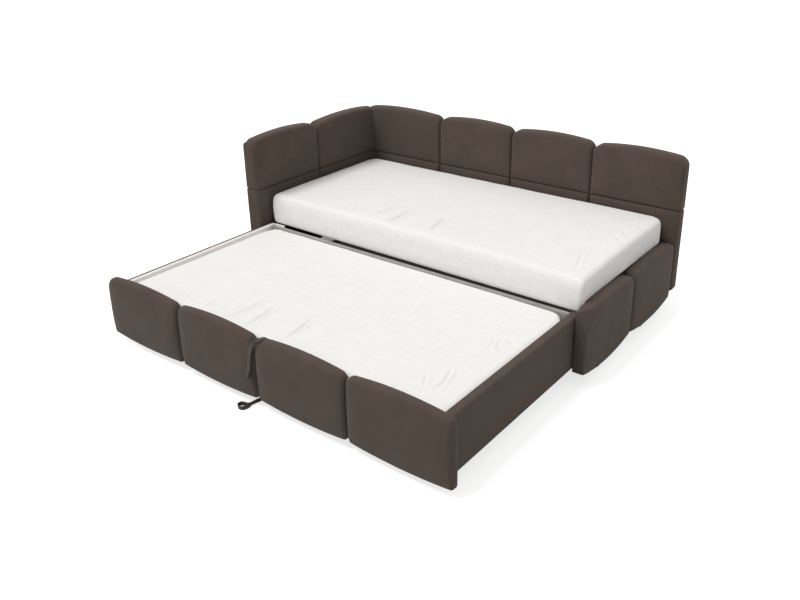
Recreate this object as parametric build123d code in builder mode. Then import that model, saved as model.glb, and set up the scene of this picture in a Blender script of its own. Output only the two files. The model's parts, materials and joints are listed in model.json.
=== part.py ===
"""Corner daybed with a second bed that rolls out from under it, shown rolled out.

Three upholstered walls stand on short feet: a long back wall of four padded panels,
a head wall of two at the left, and a low foot wall of two at the right. A steel and
slat base between them carries the upper mattress. The lower bed is a shallow box on
six castors with a padded front of four panels, two webbing pull straps and its own
mattress. It rolls along Y, into the bay under the upper bed.

Millimetres. +X runs along the bed to the foot wall, +Y to the back wall, +Z up.
The origin is on the floor, under the middle of the back wall.
"""
import math
import os

from build123d import *

os.makedirs("parts", exist_ok=True)

# Upper mattress
mattress_length = 2000
mattress_width = 940
mattress_height = 148
mattress_corner = 42
mattress_edge = 34
mattress_crown = 7
mattress_crown_reach = 150
mattress_side_bulge = 3
mattress_gap = 6
mattress_front_corner = 26
mattress_lip_drop = 18
mattress_lip_gap = 2
mattress_lip_edge = 9

# Walls
bed_depth = 1095
back_thickness = 70
head_thickness = 100
foot_thickness = 60
wall_bottom = 100
seam_height = 560
wall_top = 848
wall_rise = 20
wall_corner = 48
panel_width = 510
panel_gap = 1.5
head_lap = 45
seam_gap = 1.5

# Foot wall outline
foot_bottom = 76
foot_top = 384
foot_rise = 18
foot_drop = 30
foot_corner = 32
foot_low_corner = 22

# Padding
pad_edge = 16
pad_crown = 8
rear_edge = 10
head_low_crown = 3
skin_gap = 0.3
crown_span_share = 0.31
fillet_room_share = 0.46
crown_depth_shares = (0.55, 0.85, 1.0)
crown_reach_shares = (0.25, 0.6, 1.0)
edge_angles = (0, 30, 60, 90)

# Boards inside the walls
back_board_thickness = 22
head_board_thickness = 40
foot_board_thickness = 24
board_wrap = 22
board_top_drop = 40
bottom_cover = 4

# Upper bed base
base_tube_height = 20
base_tube_width = 40
base_tube_wall = 2
base_setback = 30
bracket_thickness = 3
bracket_height = 44
ledge_width = 15
ledge_thickness = 2
base_slat_count = 14
base_slat_width = 68
base_slat_thickness = 8
slat_end_gap = 2

# Lower bed, rolled out
rolled_overlap = 68
front_close_gap = 2
front_thickness = 42
front_board_thickness = 16
front_bottom = 49
front_top = 353
front_rise = 20
front_drop = 14
front_corner = 36
front_low_corner = 20
front_left_gap = 12
front_right_gap = 38
front_panel_width = 523
front_crown = 12
rail_clearance = 4
rail_thickness = 42
rail_board_thickness = 16
rail_bottom = 88
rail_top = 349
rail_edge = 6
lining_thickness = 3
lining_ledge = 22
rear_clearance = 9
rear_rail_depth = 20
rear_rail_lip = 15
rear_rail_drop = 4
rear_rail_step = 9
rear_rail_sheet = 2.5
corner_panel_width = 75
base_clearance = 5

# Lower bed base and mattress
ledger_width = 25
ledger_height = 30
ledger_top = 206
lower_slat_count = 12
lower_slat_width = 70
lower_slat_thickness = 12
lower_mattress_height = 124
lower_mattress_corner = 85
lower_mattress_edge = 26
lower_mattress_gap = 3
lower_mattress_crown = 4

# Castors
bearer_bottom = 107
bearer_width = 50
bearer_height = 50
bearer_inset = 20
wheel_radius = 37.5
wheel_width = 22
wheel_groove = 2
axle_radius = 4
axle_clearance = 0.08
axle_head_radius = 6
axle_head_thickness = 2
fork_plate = 44
fork_sheet = 2.5
fork_side_gap = 1.5
fork_width = 22
castor_inset = 70

# Feet
foot_block_length = 60
foot_glide = 4
foot_block_corner = 5
foot_end_inset = 120
foot_wall_end_inset = 260

# Screws
screw_radius = 3
screw_head_radius = 6
screw_head_depth = 4
screw_length = 60
rail_screw_length = 45
rail_screw_inset = 55
screw_pitch = 120

# Straps
strap_width = 20
strap_thickness = 1.8
strap_standoff = 0.8
upper_strap_offset = 48
upper_strap_tail = 60
upper_strap_drop = 150
upper_strap_drift = 72
upper_bend_radius = 45
upper_loop_length = 44
upper_loop_belly = 22
lower_strap_hold = 60
lower_strap_slope = 85
lower_strap_reach = 26
lower_strap_lift = 0.5
lower_bend_radius = 12
lower_apex_left = 20
lower_apex_front = 12
lower_loop_length = 52
lower_loop_belly = 26
lower_loop_turn = 12
loop_overlap = 3

# Places that follow from the sizes
bed_length = head_thickness + mattress_gap + mattress_length + mattress_gap + foot_thickness
left_x = -bed_length / 2
right_x = bed_length / 2
head_inner_x = left_x + head_thickness
foot_inner_x = right_x - foot_thickness
back_rear_y = back_thickness / 2
back_front_y = -back_thickness / 2
wall_front_y = back_rear_y - bed_depth
mattress_back_y = back_front_y - pad_crown - mattress_gap / 2
mattress_front_y = mattress_back_y - mattress_width
base_bottom = rail_top + base_clearance
base_top = base_bottom + base_tube_height
closed_rear_y = back_front_y - pad_crown - rear_clearance
roll_travel = closed_rear_y - wall_front_y - rolled_overlap
front_rear_y = wall_front_y - front_close_gap - roll_travel
front_face_y = front_rear_y - front_thickness
lower_rear_y = closed_rear_y - roll_travel
rail_left_x = head_inner_x + head_low_crown + rail_clearance
rail_right_x = foot_inner_x - rail_clearance
lower_left_x = rail_left_x + rail_thickness
lower_right_x = rail_right_x - rail_thickness
rear_web_y = lower_rear_y - rear_rail_lip - rear_rail_depth
rear_rail_top = rail_top - rear_rail_drop


def facing_room(x, rear_y):
    """Plane of a back wall or front panel: its own x is X, its y is Z, out is -Y."""
    return Plane(origin=(x, rear_y, 0), x_dir=(1, 0, 0), z_dir=(0, -1, 0))


def facing_foot(rear_x, y):
    """Plane of a head or foot wall panel: its own x is Y, its y is Z, out is +X."""
    return Plane(origin=(rear_x, y, 0), x_dir=(0, 1, 0), z_dir=(1, 0, 0))


def cut_box(low, high):
    """Cut the box between two corners out of the open part."""
    middle = [(a + b) / 2 for a, b in zip(low, high)]
    sides = [b - a for a, b in zip(low, high)]
    with Locations(tuple(middle)):
        Box(*sides, mode=Mode.SUBTRACT)


def solid_box(low, high):
    """Add the box between two corners to the open part."""
    middle = [(a + b) / 2 for a, b in zip(low, high)]
    sides = [b - a for a, b in zip(low, high)]
    with Locations(tuple(middle)):
        Box(*sides)


def soft_steps(thickness, back_round, front_round, crown, reach):
    """Depth and inset of each section of a padded form, from its rear face to its crown."""
    steps = []
    for angle in reversed(edge_angles):
        turn = math.radians(angle)
        steps.append((back_round * (1 - math.sin(turn)), back_round * (1 - math.cos(turn))))
    for angle in edge_angles:
        turn = math.radians(angle)
        depth = thickness - front_round + front_round * math.sin(turn)
        steps.append((depth, front_round * (1 - math.cos(turn))))
    for depth_share, reach_share in zip(crown_depth_shares, crown_reach_shares):
        steps.append((thickness + crown * depth_share, front_round + reach * reach_share))
    return steps


def panel_section(plane, width, low, high, rise, drop, top_round, low_round, inset):
    """One section of a padded panel: arched top, straight or bellied bottom."""
    half = width / 2 - inset
    bottom = low + inset
    top = high - inset
    room = fillet_room_share * min(2 * half, top - bottom)
    with BuildSketch(plane) as section:
        with BuildLine():
            if drop:
                ThreePointArc((-half, bottom), (0, bottom - drop), (half, bottom))
            else:
                Line((-half, bottom), (half, bottom))
            Line((half, bottom), (half, top))
            if rise:
                ThreePointArc((half, top), (0, top + rise), (-half, top))
            else:
                Line((half, top), (-half, top))
            Line((-half, top), (-half, bottom))
        make_face()
        if top_round:
            fillet(vertices().group_by(Axis.Y)[-1], min(top_round, room))
        if low_round:
            fillet(vertices().group_by(Axis.Y)[0], min(low_round, room))
    return section.sketch


def panel_form(plane, width, low, high, rise, drop, top_round, low_round, thickness, crown):
    """Padded panel with rounded edges and a crowned face, lofted through its sections."""
    reach = crown_span_share * min(width, high - low)
    steps = soft_steps(thickness, rear_edge, pad_edge, crown, reach)
    loft([panel_section(plane.offset(depth), width, low, high, rise, drop, top_round,
                        low_round, inset) for depth, inset in steps], ruled=True)


def save(name, part):
    """Label a finished piece and write it to its own file."""
    part.label = name
    export_step(part, f"parts/{name}.step")


# Back wall: board, then four upper and four lower pads, from the head end to the foot end
back_board_low = (left_x + head_lap + board_wrap / 2, -back_board_thickness / 2,
                  wall_bottom + bottom_cover)
back_board_high = (right_x - board_wrap, back_board_thickness / 2, wall_top - board_top_drop)
head_board_low = (left_x + (head_thickness - head_board_thickness) / 2, wall_front_y + board_wrap,
                  wall_bottom + bottom_cover)
head_board_high = (left_x + (head_thickness + head_board_thickness) / 2,
                   -back_board_thickness / 2, wall_top - board_top_drop)
foot_board_low = (foot_inner_x, wall_front_y + board_wrap, foot_bottom + board_wrap / 2)
foot_board_high = (foot_inner_x + foot_board_thickness, -back_board_thickness / 2,
                   foot_top - board_wrap)
seam_low = seam_height - seam_gap / 2
seam_high = seam_height + seam_gap / 2

back_edges = [right_x - panel_width * count for count in range(4)]
back_edges.append(left_x + head_lap)
back_edges.reverse()
for number in range(4):
    start = back_edges[number] + panel_gap / 2
    end = back_edges[number + 1] - panel_gap / 2
    panel_plane = facing_room((start + end) / 2, back_rear_y)
    with BuildPart() as back_pad_upper:
        panel_form(panel_plane, end - start, seam_high, wall_top, wall_rise, 0,
                   wall_corner, 0, back_thickness, pad_crown)
        cut_box(back_board_low, back_board_high)
        if number == 0:
            cut_box(head_board_low, head_board_high)
            cut_box((left_x, back_front_y - pad_crown * 2, 0),
                    (head_inner_x + pad_crown, back_front_y, wall_top * 2))
    save(f"back_pad_upper_{number + 1}", back_pad_upper.part)
    with BuildPart() as back_pad_lower:
        panel_form(panel_plane, end - start, wall_bottom, seam_low, 0, 0,
                   0, 0, back_thickness, pad_crown)
        cut_box(back_board_low, back_board_high)
        cut_box((left_x, back_front_y - pad_crown * 2, 0),
                (right_x, back_front_y, base_top + skin_gap))
        if number == 0:
            cut_box(head_board_low, head_board_high)
            cut_box((left_x, back_front_y - pad_crown * 2, 0),
                    (head_inner_x + pad_crown, back_front_y, seam_height))
        if number == 3:
            cut_box(foot_board_low, foot_board_high)
            cut_box((foot_inner_x - skin_gap, back_front_y - pad_crown * 2, 0),
                    (right_x, back_front_y, foot_top + foot_rise + skin_gap))
    save(f"back_pad_lower_{number + 1}", back_pad_lower.part)

# Head wall: board and pads, front panel first. The rear ones lap round the back wall's end
head_split_y = (wall_front_y + back_front_y) / 2
head_edges = (wall_front_y, head_split_y, back_rear_y)
for number in range(2):
    start = head_edges[number] + panel_gap / 2
    end = head_edges[number + 1] - panel_gap / 2
    panel_plane = facing_foot(left_x, (start + end) / 2)
    with BuildPart() as head_pad_upper:
        panel_form(panel_plane, end - start, seam_high, wall_top, wall_rise, 0,
                   wall_corner, 0, head_thickness, head_low_crown + pad_crown / 2)
        cut_box(head_board_low, head_board_high)
        cut_box((left_x + head_lap - panel_gap / 2, back_front_y - panel_gap / 2, 0),
                (head_inner_x + pad_crown * 2, back_rear_y + pad_crown, wall_top * 2))
    save(f"head_pad_upper_{number + 1}", head_pad_upper.part)
    with BuildPart() as head_pad_lower:
        panel_form(panel_plane, end - start, wall_bottom, seam_low, 0, 0,
                   0, 0, head_thickness, head_low_crown)
        cut_box(head_board_low, head_board_high)
        cut_box((left_x + head_lap - panel_gap / 2, back_front_y - panel_gap / 2, 0),
                (head_inner_x + pad_crown * 2, back_rear_y + pad_crown, seam_height))
        cut_box((head_inner_x, mattress_front_y - mattress_gap, 0),
                (head_inner_x + pad_crown, back_rear_y, base_bottom + bracket_height + mattress_gap))
        cut_box((head_inner_x, wall_front_y, 0),
                (head_inner_x + pad_crown, back_rear_y, base_bottom))
    save(f"head_pad_lower_{number + 1}", head_pad_lower.part)

# Foot wall: two low pads over a board whose inner face is bare beside the mattress
foot_split_y = (wall_front_y + back_front_y) / 2
foot_edges = (wall_front_y, foot_split_y, back_front_y)
for number in range(2):
    start = foot_edges[number] + panel_gap / 2
    end = foot_edges[number + 1] - panel_gap / 2
    with BuildPart() as foot_pad:
        panel_form(facing_foot(foot_inner_x, (start + end) / 2), end - start, foot_bottom,
                   foot_top, foot_rise, foot_drop, foot_corner, foot_low_corner,
                   foot_thickness, pad_crown)
        cut_box(foot_board_low, foot_board_high)
        cut_box((foot_inner_x - pad_crown, wall_front_y, 0),
                (foot_board_high[0], back_rear_y, wall_bottom))
    save(f"foot_pad_{number + 1}", foot_pad.part)


def along(first, last, count):
    """Evenly spaced places from first to last."""
    return [first + (last - first) * step / (count - 1) for step in range(count)]


def screw(plane, length):
    """Countersunk screw that enters along the plane's normal, head flush with the plane."""
    with BuildSketch(plane) as head:
        Circle(screw_head_radius)
    with BuildSketch(plane.offset(screw_head_depth)) as neck:
        Circle(screw_radius)
    loft([head.sketch, neck.sketch])
    with BuildSketch(plane.offset(screw_head_depth)) as shank:
        Circle(screw_radius)
    extrude(shank.sketch, amount=length - screw_head_depth)


def screw_hole(plane, length):
    """Hole of one screw, cut from the open part."""
    with BuildSketch(plane) as head:
        Circle(screw_head_radius)
    with BuildSketch(plane.offset(screw_head_depth)) as neck:
        Circle(screw_radius)
    loft([head.sketch, neck.sketch], mode=Mode.SUBTRACT)
    with BuildSketch(plane.offset(screw_head_depth)) as shank:
        Circle(screw_radius)
    extrude(shank.sketch, amount=length - screw_head_depth, mode=Mode.SUBTRACT)


head_screw_x = (back_board_low[0] + head_board_high[0]) / 2
foot_screw_x = foot_inner_x + foot_board_thickness / 2
back_rear_face = back_board_thickness / 2
corner_screws = [(head_screw_x, height) for height in
                 along(wall_bottom + screw_pitch, head_board_high[2] - screw_pitch, 3)]
corner_screws += [(foot_screw_x, height) for height in
                  along(foot_board_low[2] + screw_pitch / 2, foot_board_high[2] - screw_pitch / 2, 2)]
screw_planes = [Plane(origin=(x, back_rear_face, z), x_dir=(1, 0, 0), z_dir=(0, -1, 0))
                for x, z in corner_screws]

with BuildPart() as back_board:
    solid_box(back_board_low, back_board_high)
    for screw_plane in screw_planes:
        screw_hole(screw_plane, screw_length)
save("back_board", back_board.part)

with BuildPart() as head_board:
    solid_box(head_board_low, head_board_high)
    for screw_plane in screw_planes:
        screw_hole(screw_plane, screw_length)
save("head_board", head_board.part)

with BuildPart() as foot_board:
    solid_box(foot_board_low, foot_board_high)
    for screw_plane in screw_planes:
        screw_hole(screw_plane, screw_length)
save("foot_board", foot_board.part)

with BuildPart() as corner_screws_part:
    for screw_plane in screw_planes:
        screw(screw_plane, screw_length)
save("corner_screws", corner_screws_part.part)

# Feet: short blocks with felt glides, under the middle and the ends of each wall
back_feet_x = (back_board_low[0] + foot_end_inset, 0, back_board_high[0] - foot_end_inset)
head_feet_x = (head_board_low[0] + head_board_high[0]) / 2
wall_feet_y = along(wall_front_y + foot_wall_end_inset, back_front_y - foot_wall_end_inset, 2)


def block_with_corners(x, y, low, high, size_x, size_y):
    """Upright block with rounded corners, between two heights."""
    with BuildSketch(Plane.XY.offset(low)) as outline:
        with Locations((x, y)):
            RectangleRounded(size_x, size_y, foot_block_corner)
    extrude(outline.sketch, amount=high - low)


foot_places = [(x, 0, foot_block_length, back_board_thickness, wall_bottom) for x in back_feet_x]
foot_places += [(head_feet_x, y, head_board_thickness, foot_block_length, wall_bottom)
                for y in wall_feet_y]
foot_places += [(foot_screw_x, y, foot_board_thickness, foot_block_length, foot_board_low[2])
                for y in wall_feet_y]

with BuildPart() as wall_feet:
    for x, y, size_x, size_y, top in foot_places:
        block_with_corners(x, y, foot_glide, top, size_x, size_y)
save("wall_feet", wall_feet.part)

with BuildPart() as felt_glides:
    for x, y, size_x, size_y, top in foot_places:
        block_with_corners(x, y, 0, foot_glide, size_x, size_y)
save("felt_glides", felt_glides.part)

# Upper bed base: two long tubes, two cross tubes and end brackets, with slats between
base_left_x = head_inner_x + bracket_thickness
base_right_x = foot_inner_x - bracket_thickness
base_front_y = mattress_front_y + base_setback
base_rear_y = back_front_y
bracket_rear_y = back_front_y - pad_crown - skin_gap
tube_inner_width = base_tube_width - 2 * base_tube_wall
tube_inner_height = base_tube_height - 2 * base_tube_wall


def long_tube(front_y, ledge_front_y):
    """Tube along the bed with a narrow ledge that carries the slat ends."""
    with BuildSketch(Plane.YZ.offset(base_left_x)) as section:
        with Locations((front_y + base_tube_width / 2, base_bottom + base_tube_height / 2)):
            Rectangle(base_tube_width, base_tube_height)
            Rectangle(tube_inner_width, tube_inner_height, mode=Mode.SUBTRACT)
        with Locations((ledge_front_y + ledge_width / 2,
                        base_top - base_slat_thickness - ledge_thickness / 2)):
            Rectangle(ledge_width, ledge_thickness)
    extrude(section.sketch, amount=base_right_x - base_left_x)


with BuildPart() as base_front_tube:
    long_tube(base_front_y, base_front_y + base_tube_width)
save("base_front_tube", base_front_tube.part)

with BuildPart() as base_rear_tube:
    long_tube(base_rear_y - base_tube_width, base_rear_y - base_tube_width - ledge_width)
save("base_rear_tube", base_rear_tube.part)

slat_front_y = base_front_y + base_tube_width + slat_end_gap
slat_rear_y = base_rear_y - base_tube_width - slat_end_gap
base_slat_bottom = base_top - base_slat_thickness
cross_front_y = base_front_y + base_tube_width + ledge_width
cross_rear_y = base_rear_y - base_tube_width - ledge_width
base_slats_x = along(base_left_x + base_slat_width, base_right_x - base_slat_width, base_slat_count)
cross_places_x = [(base_slats_x[count] + base_slats_x[count + 1]) / 2
                  for count in (base_slat_count // 3 - 1, base_slat_count - base_slat_count // 3 - 1)]
for number, cross_x in enumerate(cross_places_x):
    with BuildPart() as base_cross_tube:
        with BuildSketch(Plane.XZ.offset(-cross_rear_y)):
            with Locations((cross_x, base_bottom + base_tube_height / 2)):
                Rectangle(base_tube_width, base_tube_height)
                Rectangle(tube_inner_width, tube_inner_height, mode=Mode.SUBTRACT)
        extrude(amount=cross_rear_y - cross_front_y)
        solid_box((cross_x - base_tube_width / 2, cross_rear_y, base_bottom),
                  (cross_x + base_tube_width / 2, cross_rear_y + ledge_width,
                   base_slat_bottom - ledge_thickness))
        solid_box((cross_x - base_tube_width / 2, cross_front_y - ledge_width, base_bottom),
                  (cross_x + base_tube_width / 2, cross_front_y, base_slat_bottom - ledge_thickness))
    save(f"base_cross_tube_{number + 1}", base_cross_tube.part)

bracket_top = base_bottom + bracket_height
for name, low_x in (("base_head_bracket", head_inner_x), ("base_foot_bracket", base_right_x)):
    with BuildPart() as base_bracket:
        solid_box((low_x, base_front_y, base_bottom),
                  (low_x + bracket_thickness, bracket_rear_y, bracket_top))
        fillet(edges().filter_by(Axis.X).sort_by(Axis.Z)[-2:], bracket_thickness)
    save(name, base_bracket.part)

with BuildPart() as base_slats:
    for slat_x in base_slats_x:
        solid_box((slat_x - base_slat_width / 2, slat_front_y, base_slat_bottom),
                  (slat_x + base_slat_width / 2, slat_rear_y, base_top))
    fillet(edges().filter_by(Axis.Y), base_slat_thickness / 4)
save("base_slats", base_slats.part)


def mattress_form(low_x, high_x, low_y, high_y, bottom, height, corners, edge, crown, bulge):
    """Soft mattress: rounded edges, sides that swell a little and a crowned top."""
    width, depth = high_x - low_x, high_y - low_y
    steps = soft_steps(height, edge, edge, crown, mattress_crown_reach)
    sections = []
    for level, inset in steps:
        swell = bulge * (1 - abs(1 - 2 * min(level / height, 1)))
        with BuildSketch(Plane.XY.offset(bottom + level)) as section:
            with Locations(((low_x + high_x) / 2, (low_y + high_y) / 2)):
                Rectangle(width - 2 * (inset + bulge - swell), depth - 2 * (inset + bulge - swell))
            back = vertices().group_by(Axis.Y)[-1]
            front = vertices().group_by(Axis.Y)[0]
            fillet(back, corners[1])
            fillet(front, corners[0])
        sections.append(section.sketch)
    loft(sections, ruled=True)


mattress_left_x = head_inner_x + mattress_gap
with BuildPart() as upper_mattress:
    mattress_form(mattress_left_x, mattress_left_x + mattress_length, mattress_front_y,
                  mattress_back_y, base_top, mattress_height,
                  (mattress_front_corner, mattress_corner), mattress_edge, mattress_crown,
                  mattress_side_bulge)
    lip_low = (mattress_front_y + mattress_side_bulge, base_top - mattress_lip_drop)
    lip_high = (base_front_y - mattress_lip_gap, base_top + mattress_edge)
    lip_left_x = mattress_left_x + mattress_front_corner
    with BuildSketch(Plane.YZ.offset(lip_left_x)) as lip:
        with Locations(((lip_low[0] + lip_high[0]) / 2, (lip_low[1] + lip_high[1]) / 2)):
            Rectangle(lip_high[0] - lip_low[0], lip_high[1] - lip_low[1])
        fillet(vertices().group_by(Axis.Y)[0], mattress_lip_edge)
    extrude(lip.sketch, amount=mattress_length - 2 * mattress_front_corner)
save("upper_mattress", upper_mattress.part)

# Lower bed front: a board with four padded panels over it
front_left_x = left_x + front_left_gap
front_right_x = right_x - front_right_gap
front_board_low = (front_left_x + board_wrap, front_rear_y - front_board_thickness,
                   front_bottom + board_wrap)
front_board_high = (front_right_x - board_wrap, front_rear_y, front_top - board_wrap)
front_edges = [front_right_x - front_panel_width * count for count in range(4)]
front_edges.append(front_left_x)
front_edges.reverse()
for number in range(4):
    start = front_edges[number] + panel_gap / 2
    end = front_edges[number + 1] - panel_gap / 2
    with BuildPart() as front_pad:
        panel_form(facing_room((start + end) / 2, front_rear_y), end - start, front_bottom,
                   front_top, front_rise, front_drop, front_corner, front_low_corner,
                   front_thickness, front_crown)
        cut_box(front_board_low, front_board_high)
    save(f"front_pad_{number + 1}", front_pad.part)

# Lower bed layout: the rails' boards and covers, the cross bearers and the front's screws
rail_cover = (rail_thickness - lining_thickness - rail_board_thickness) / 2
board_top = rail_top - rail_cover
bearer_top = bearer_bottom + bearer_height
bearer_places_x = (lower_left_x + bearer_inset + bearer_width / 2,
                   (lower_left_x + lower_right_x) / 2,
                   lower_right_x - bearer_inset - bearer_width / 2)
rail_boards_x = (rail_left_x + rail_cover + rail_board_thickness / 2,
                 rail_right_x - rail_cover - rail_board_thickness / 2)
front_screws = [(x, z) for x in rail_boards_x
                for z in (rail_bottom + rail_screw_inset, board_top - rail_screw_inset)]
front_screws += [(x, (bearer_bottom + bearer_top) / 2) for x in bearer_places_x]
front_screw_planes = [Plane(origin=(x, front_rear_y - front_board_thickness, z), x_dir=(1, 0, 0),
                            z_dir=(0, 1, 0)) for x, z in front_screws]

with BuildPart() as front_board:
    solid_box(front_board_low, front_board_high)
    for screw_plane in front_screw_planes:
        screw_hole(screw_plane, rail_screw_length)
save("front_board", front_board.part)

with BuildPart() as front_screws_part:
    for screw_plane in front_screw_planes:
        screw(screw_plane, rail_screw_length)
save("front_screws", front_screws_part.part)

# Side rails: a board, a padded outer cover over its top, and a pale lining inside
for name, outer_x, side in (("head_rail", rail_left_x, 1), ("foot_rail", rail_right_x, -1)):
    board_outer = outer_x + side * rail_cover
    board_inner = board_outer + side * rail_board_thickness
    inner_x = outer_x + side * rail_thickness
    lining_x = inner_x - side * lining_thickness
    ledge_x = outer_x + side * (rail_thickness - lining_ledge) if side > 0 else lining_x
    with BuildPart() as rail_board:
        solid_box((min(board_outer, board_inner), front_rear_y, rail_bottom),
                  (max(board_outer, board_inner), lower_rear_y, board_top))
        for screw_plane in front_screw_planes:
            screw_hole(screw_plane, rail_screw_length)
    save(name, rail_board.part)
    with BuildPart() as rail_cover_part:
        solid_box((min(outer_x, lining_x), front_rear_y, rail_bottom),
                  (max(outer_x, lining_x), lower_rear_y, rail_top))
        fillet(edges().filter_by(Axis.Y).group_by(Axis.Z)[-1].sort_by(Axis.X)[0 if side > 0 else -1],
               rail_edge)
        cut_box((min(board_outer, board_inner), front_rear_y, rail_bottom),
                (max(board_outer, board_inner), lower_rear_y, board_top))
        if side > 0:
            cut_box((ledge_x, front_rear_y, rail_top - lining_thickness),
                    (lining_x, lower_rear_y, rail_top))
    save(f"{name}_cover", rail_cover_part.part)
    with BuildPart() as rail_lining:
        solid_box((min(lining_x, inner_x), front_rear_y, rail_bottom),
                  (max(lining_x, inner_x), lower_rear_y, rail_top))
        if side > 0:
            solid_box((ledge_x, front_rear_y, rail_top - lining_thickness),
                      (lining_x, lower_rear_y, rail_top))
    save(f"{name}_lining", rail_lining.part)

# Rear of the lower bed: a folded steel rail, and a pale corner panel at the head end
corner_panel_x = lower_left_x + corner_panel_width
rear_step_z = rear_rail_top - rear_rail_step
rear_profile = (
    (rear_web_y, rail_bottom),
    (rear_web_y, rear_rail_top),
    (rear_web_y + rear_rail_depth, rear_rail_top),
    (rear_web_y + rear_rail_depth, rear_step_z),
    (lower_rear_y, rear_step_z),
    (lower_rear_y, rear_step_z - rear_rail_sheet),
    (rear_web_y + rear_rail_depth - rear_rail_sheet, rear_step_z - rear_rail_sheet),
    (rear_web_y + rear_rail_depth - rear_rail_sheet, rear_rail_top - rear_rail_sheet),
    (rear_web_y + rear_rail_sheet, rear_rail_top - rear_rail_sheet),
    (rear_web_y + rear_rail_sheet, rail_bottom + rear_rail_sheet),
    (rear_web_y + rear_rail_depth, rail_bottom + rear_rail_sheet),
    (rear_web_y + rear_rail_depth, rail_bottom),
)
with BuildPart() as rear_rail:
    with BuildSketch(Plane.YZ.offset(lower_left_x)):
        with BuildLine():
            Polyline(*rear_profile, close=True)
        make_face()
    extrude(amount=lower_right_x - lower_left_x)
    cut_box((lower_left_x, rear_web_y + rear_rail_depth, 0), (corner_panel_x, lower_rear_y, rail_top))
save("rear_rail", rear_rail.part)

with BuildPart() as rear_corner_panel:
    solid_box((lower_left_x, rear_web_y + rear_rail_depth, rail_bottom),
              (corner_panel_x, lower_rear_y, rail_top))
save("rear_corner_panel", rear_corner_panel.part)

# Lower bed base: ledgers at the front board and the rear rail, slats, and its mattress
ledger_low_z = ledger_top - ledger_height
for name, ledger_front_y in (("front_ledger", front_rear_y), ("rear_ledger", rear_web_y - ledger_width)):
    with BuildPart() as ledger:
        solid_box((lower_left_x, ledger_front_y, ledger_low_z),
                  (lower_right_x, ledger_front_y + ledger_width, ledger_top))
    save(name, ledger.part)

lower_slat_top = ledger_top + lower_slat_thickness
with BuildPart() as lower_slats:
    for slat_x in along(lower_left_x + lower_slat_width, lower_right_x - lower_slat_width,
                        lower_slat_count):
        solid_box((slat_x - lower_slat_width / 2, front_rear_y + slat_end_gap, ledger_top),
                  (slat_x + lower_slat_width / 2, rear_web_y - slat_end_gap, lower_slat_top))
    fillet(edges().filter_by(Axis.Y), lower_slat_thickness / 4)
save("lower_slats", lower_slats.part)

with BuildPart() as lower_mattress:
    mattress_form(lower_left_x + lower_mattress_gap, lower_right_x - lower_mattress_gap,
                  front_rear_y + lower_mattress_gap, rear_web_y - lower_mattress_gap / 2,
                  lower_slat_top, lower_mattress_height, (mattress_corner, lower_mattress_corner),
                  lower_mattress_edge, lower_mattress_crown, mattress_side_bulge / 2)
save("lower_mattress", lower_mattress.part)

# Castors: three bearers, each with a rigid castor near both ends
bearer_names = ("head_bearer", "middle_bearer", "foot_bearer")
for name, bearer_x in zip(bearer_names, bearer_places_x):
    with BuildPart() as bearer:
        solid_box((bearer_x - bearer_width / 2, front_rear_y, bearer_bottom),
                  (bearer_x + bearer_width / 2, rear_web_y, bearer_top))
        for screw_plane in front_screw_planes:
            screw_hole(screw_plane, rail_screw_length)
    save(name, bearer.part)

castor_places = [(x, y) for x in bearer_places_x
                 for y in (front_rear_y + castor_inset, rear_web_y - castor_inset)]
fork_inner = wheel_width + 2 * fork_side_gap
fork_outer = fork_inner + 2 * fork_sheet
plate_bottom = bearer_bottom - fork_sheet
with BuildPart() as castor_forks:
    for x, y in castor_places:
        solid_box((x - fork_plate / 2, y - fork_plate / 2, plate_bottom),
                  (x + fork_plate / 2, y + fork_plate / 2, bearer_bottom))
        for side in (-1, 1):
            leg_x = x + side * (fork_inner + fork_sheet) / 2
            with BuildSketch(Plane.YZ.offset(leg_x - fork_sheet / 2)) as leg:
                with Locations((y, (wheel_radius + plate_bottom) / 2)):
                    Rectangle(fork_width, plate_bottom - wheel_radius)
                with Locations((y, wheel_radius)):
                    Circle(fork_width / 2)
                    Circle(axle_radius, mode=Mode.SUBTRACT)
            extrude(leg.sketch, amount=fork_sheet)
save("castor_forks", castor_forks.part)

with BuildPart() as castor_axles:
    for x, y in castor_places:
        start_x = x - fork_outer / 2
        with BuildSketch(Plane.YZ.offset(start_x)) as pin:
            with Locations((y, wheel_radius)):
                Circle(axle_radius)
        extrude(pin.sketch, amount=fork_outer)
        for head_x in (start_x - axle_head_thickness, start_x + fork_outer):
            with BuildSketch(Plane.YZ.offset(head_x)) as head:
                with Locations((y, wheel_radius)):
                    Circle(axle_head_radius)
            extrude(head.sketch, amount=axle_head_thickness)
save("castor_axles", castor_axles.part)

wheel_names = ("head_front", "head_rear", "middle_front", "middle_rear", "foot_front", "foot_rear")
for name, (x, y) in zip(wheel_names, castor_places):
    with BuildPart() as castor_wheel:
        with BuildSketch(Plane.YZ.offset(x - wheel_width / 2)) as disc:
            with Locations((y, wheel_radius)):
                Circle(wheel_radius)
        extrude(disc.sketch, amount=wheel_width)
        fillet(edges().filter_by(GeomType.CIRCLE), wheel_groove)
        with BuildSketch(Plane.YZ.offset(x - wheel_width / 2)) as bore:
            with Locations((y, wheel_radius)):
                Circle(axle_radius + axle_clearance)
        extrude(bore.sketch, amount=wheel_width, mode=Mode.SUBTRACT)
    save(f"castor_wheel_{name}", castor_wheel.part)
    print(name, "wheel axis", round(x, 2), round(y, 2), wheel_radius)


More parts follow.
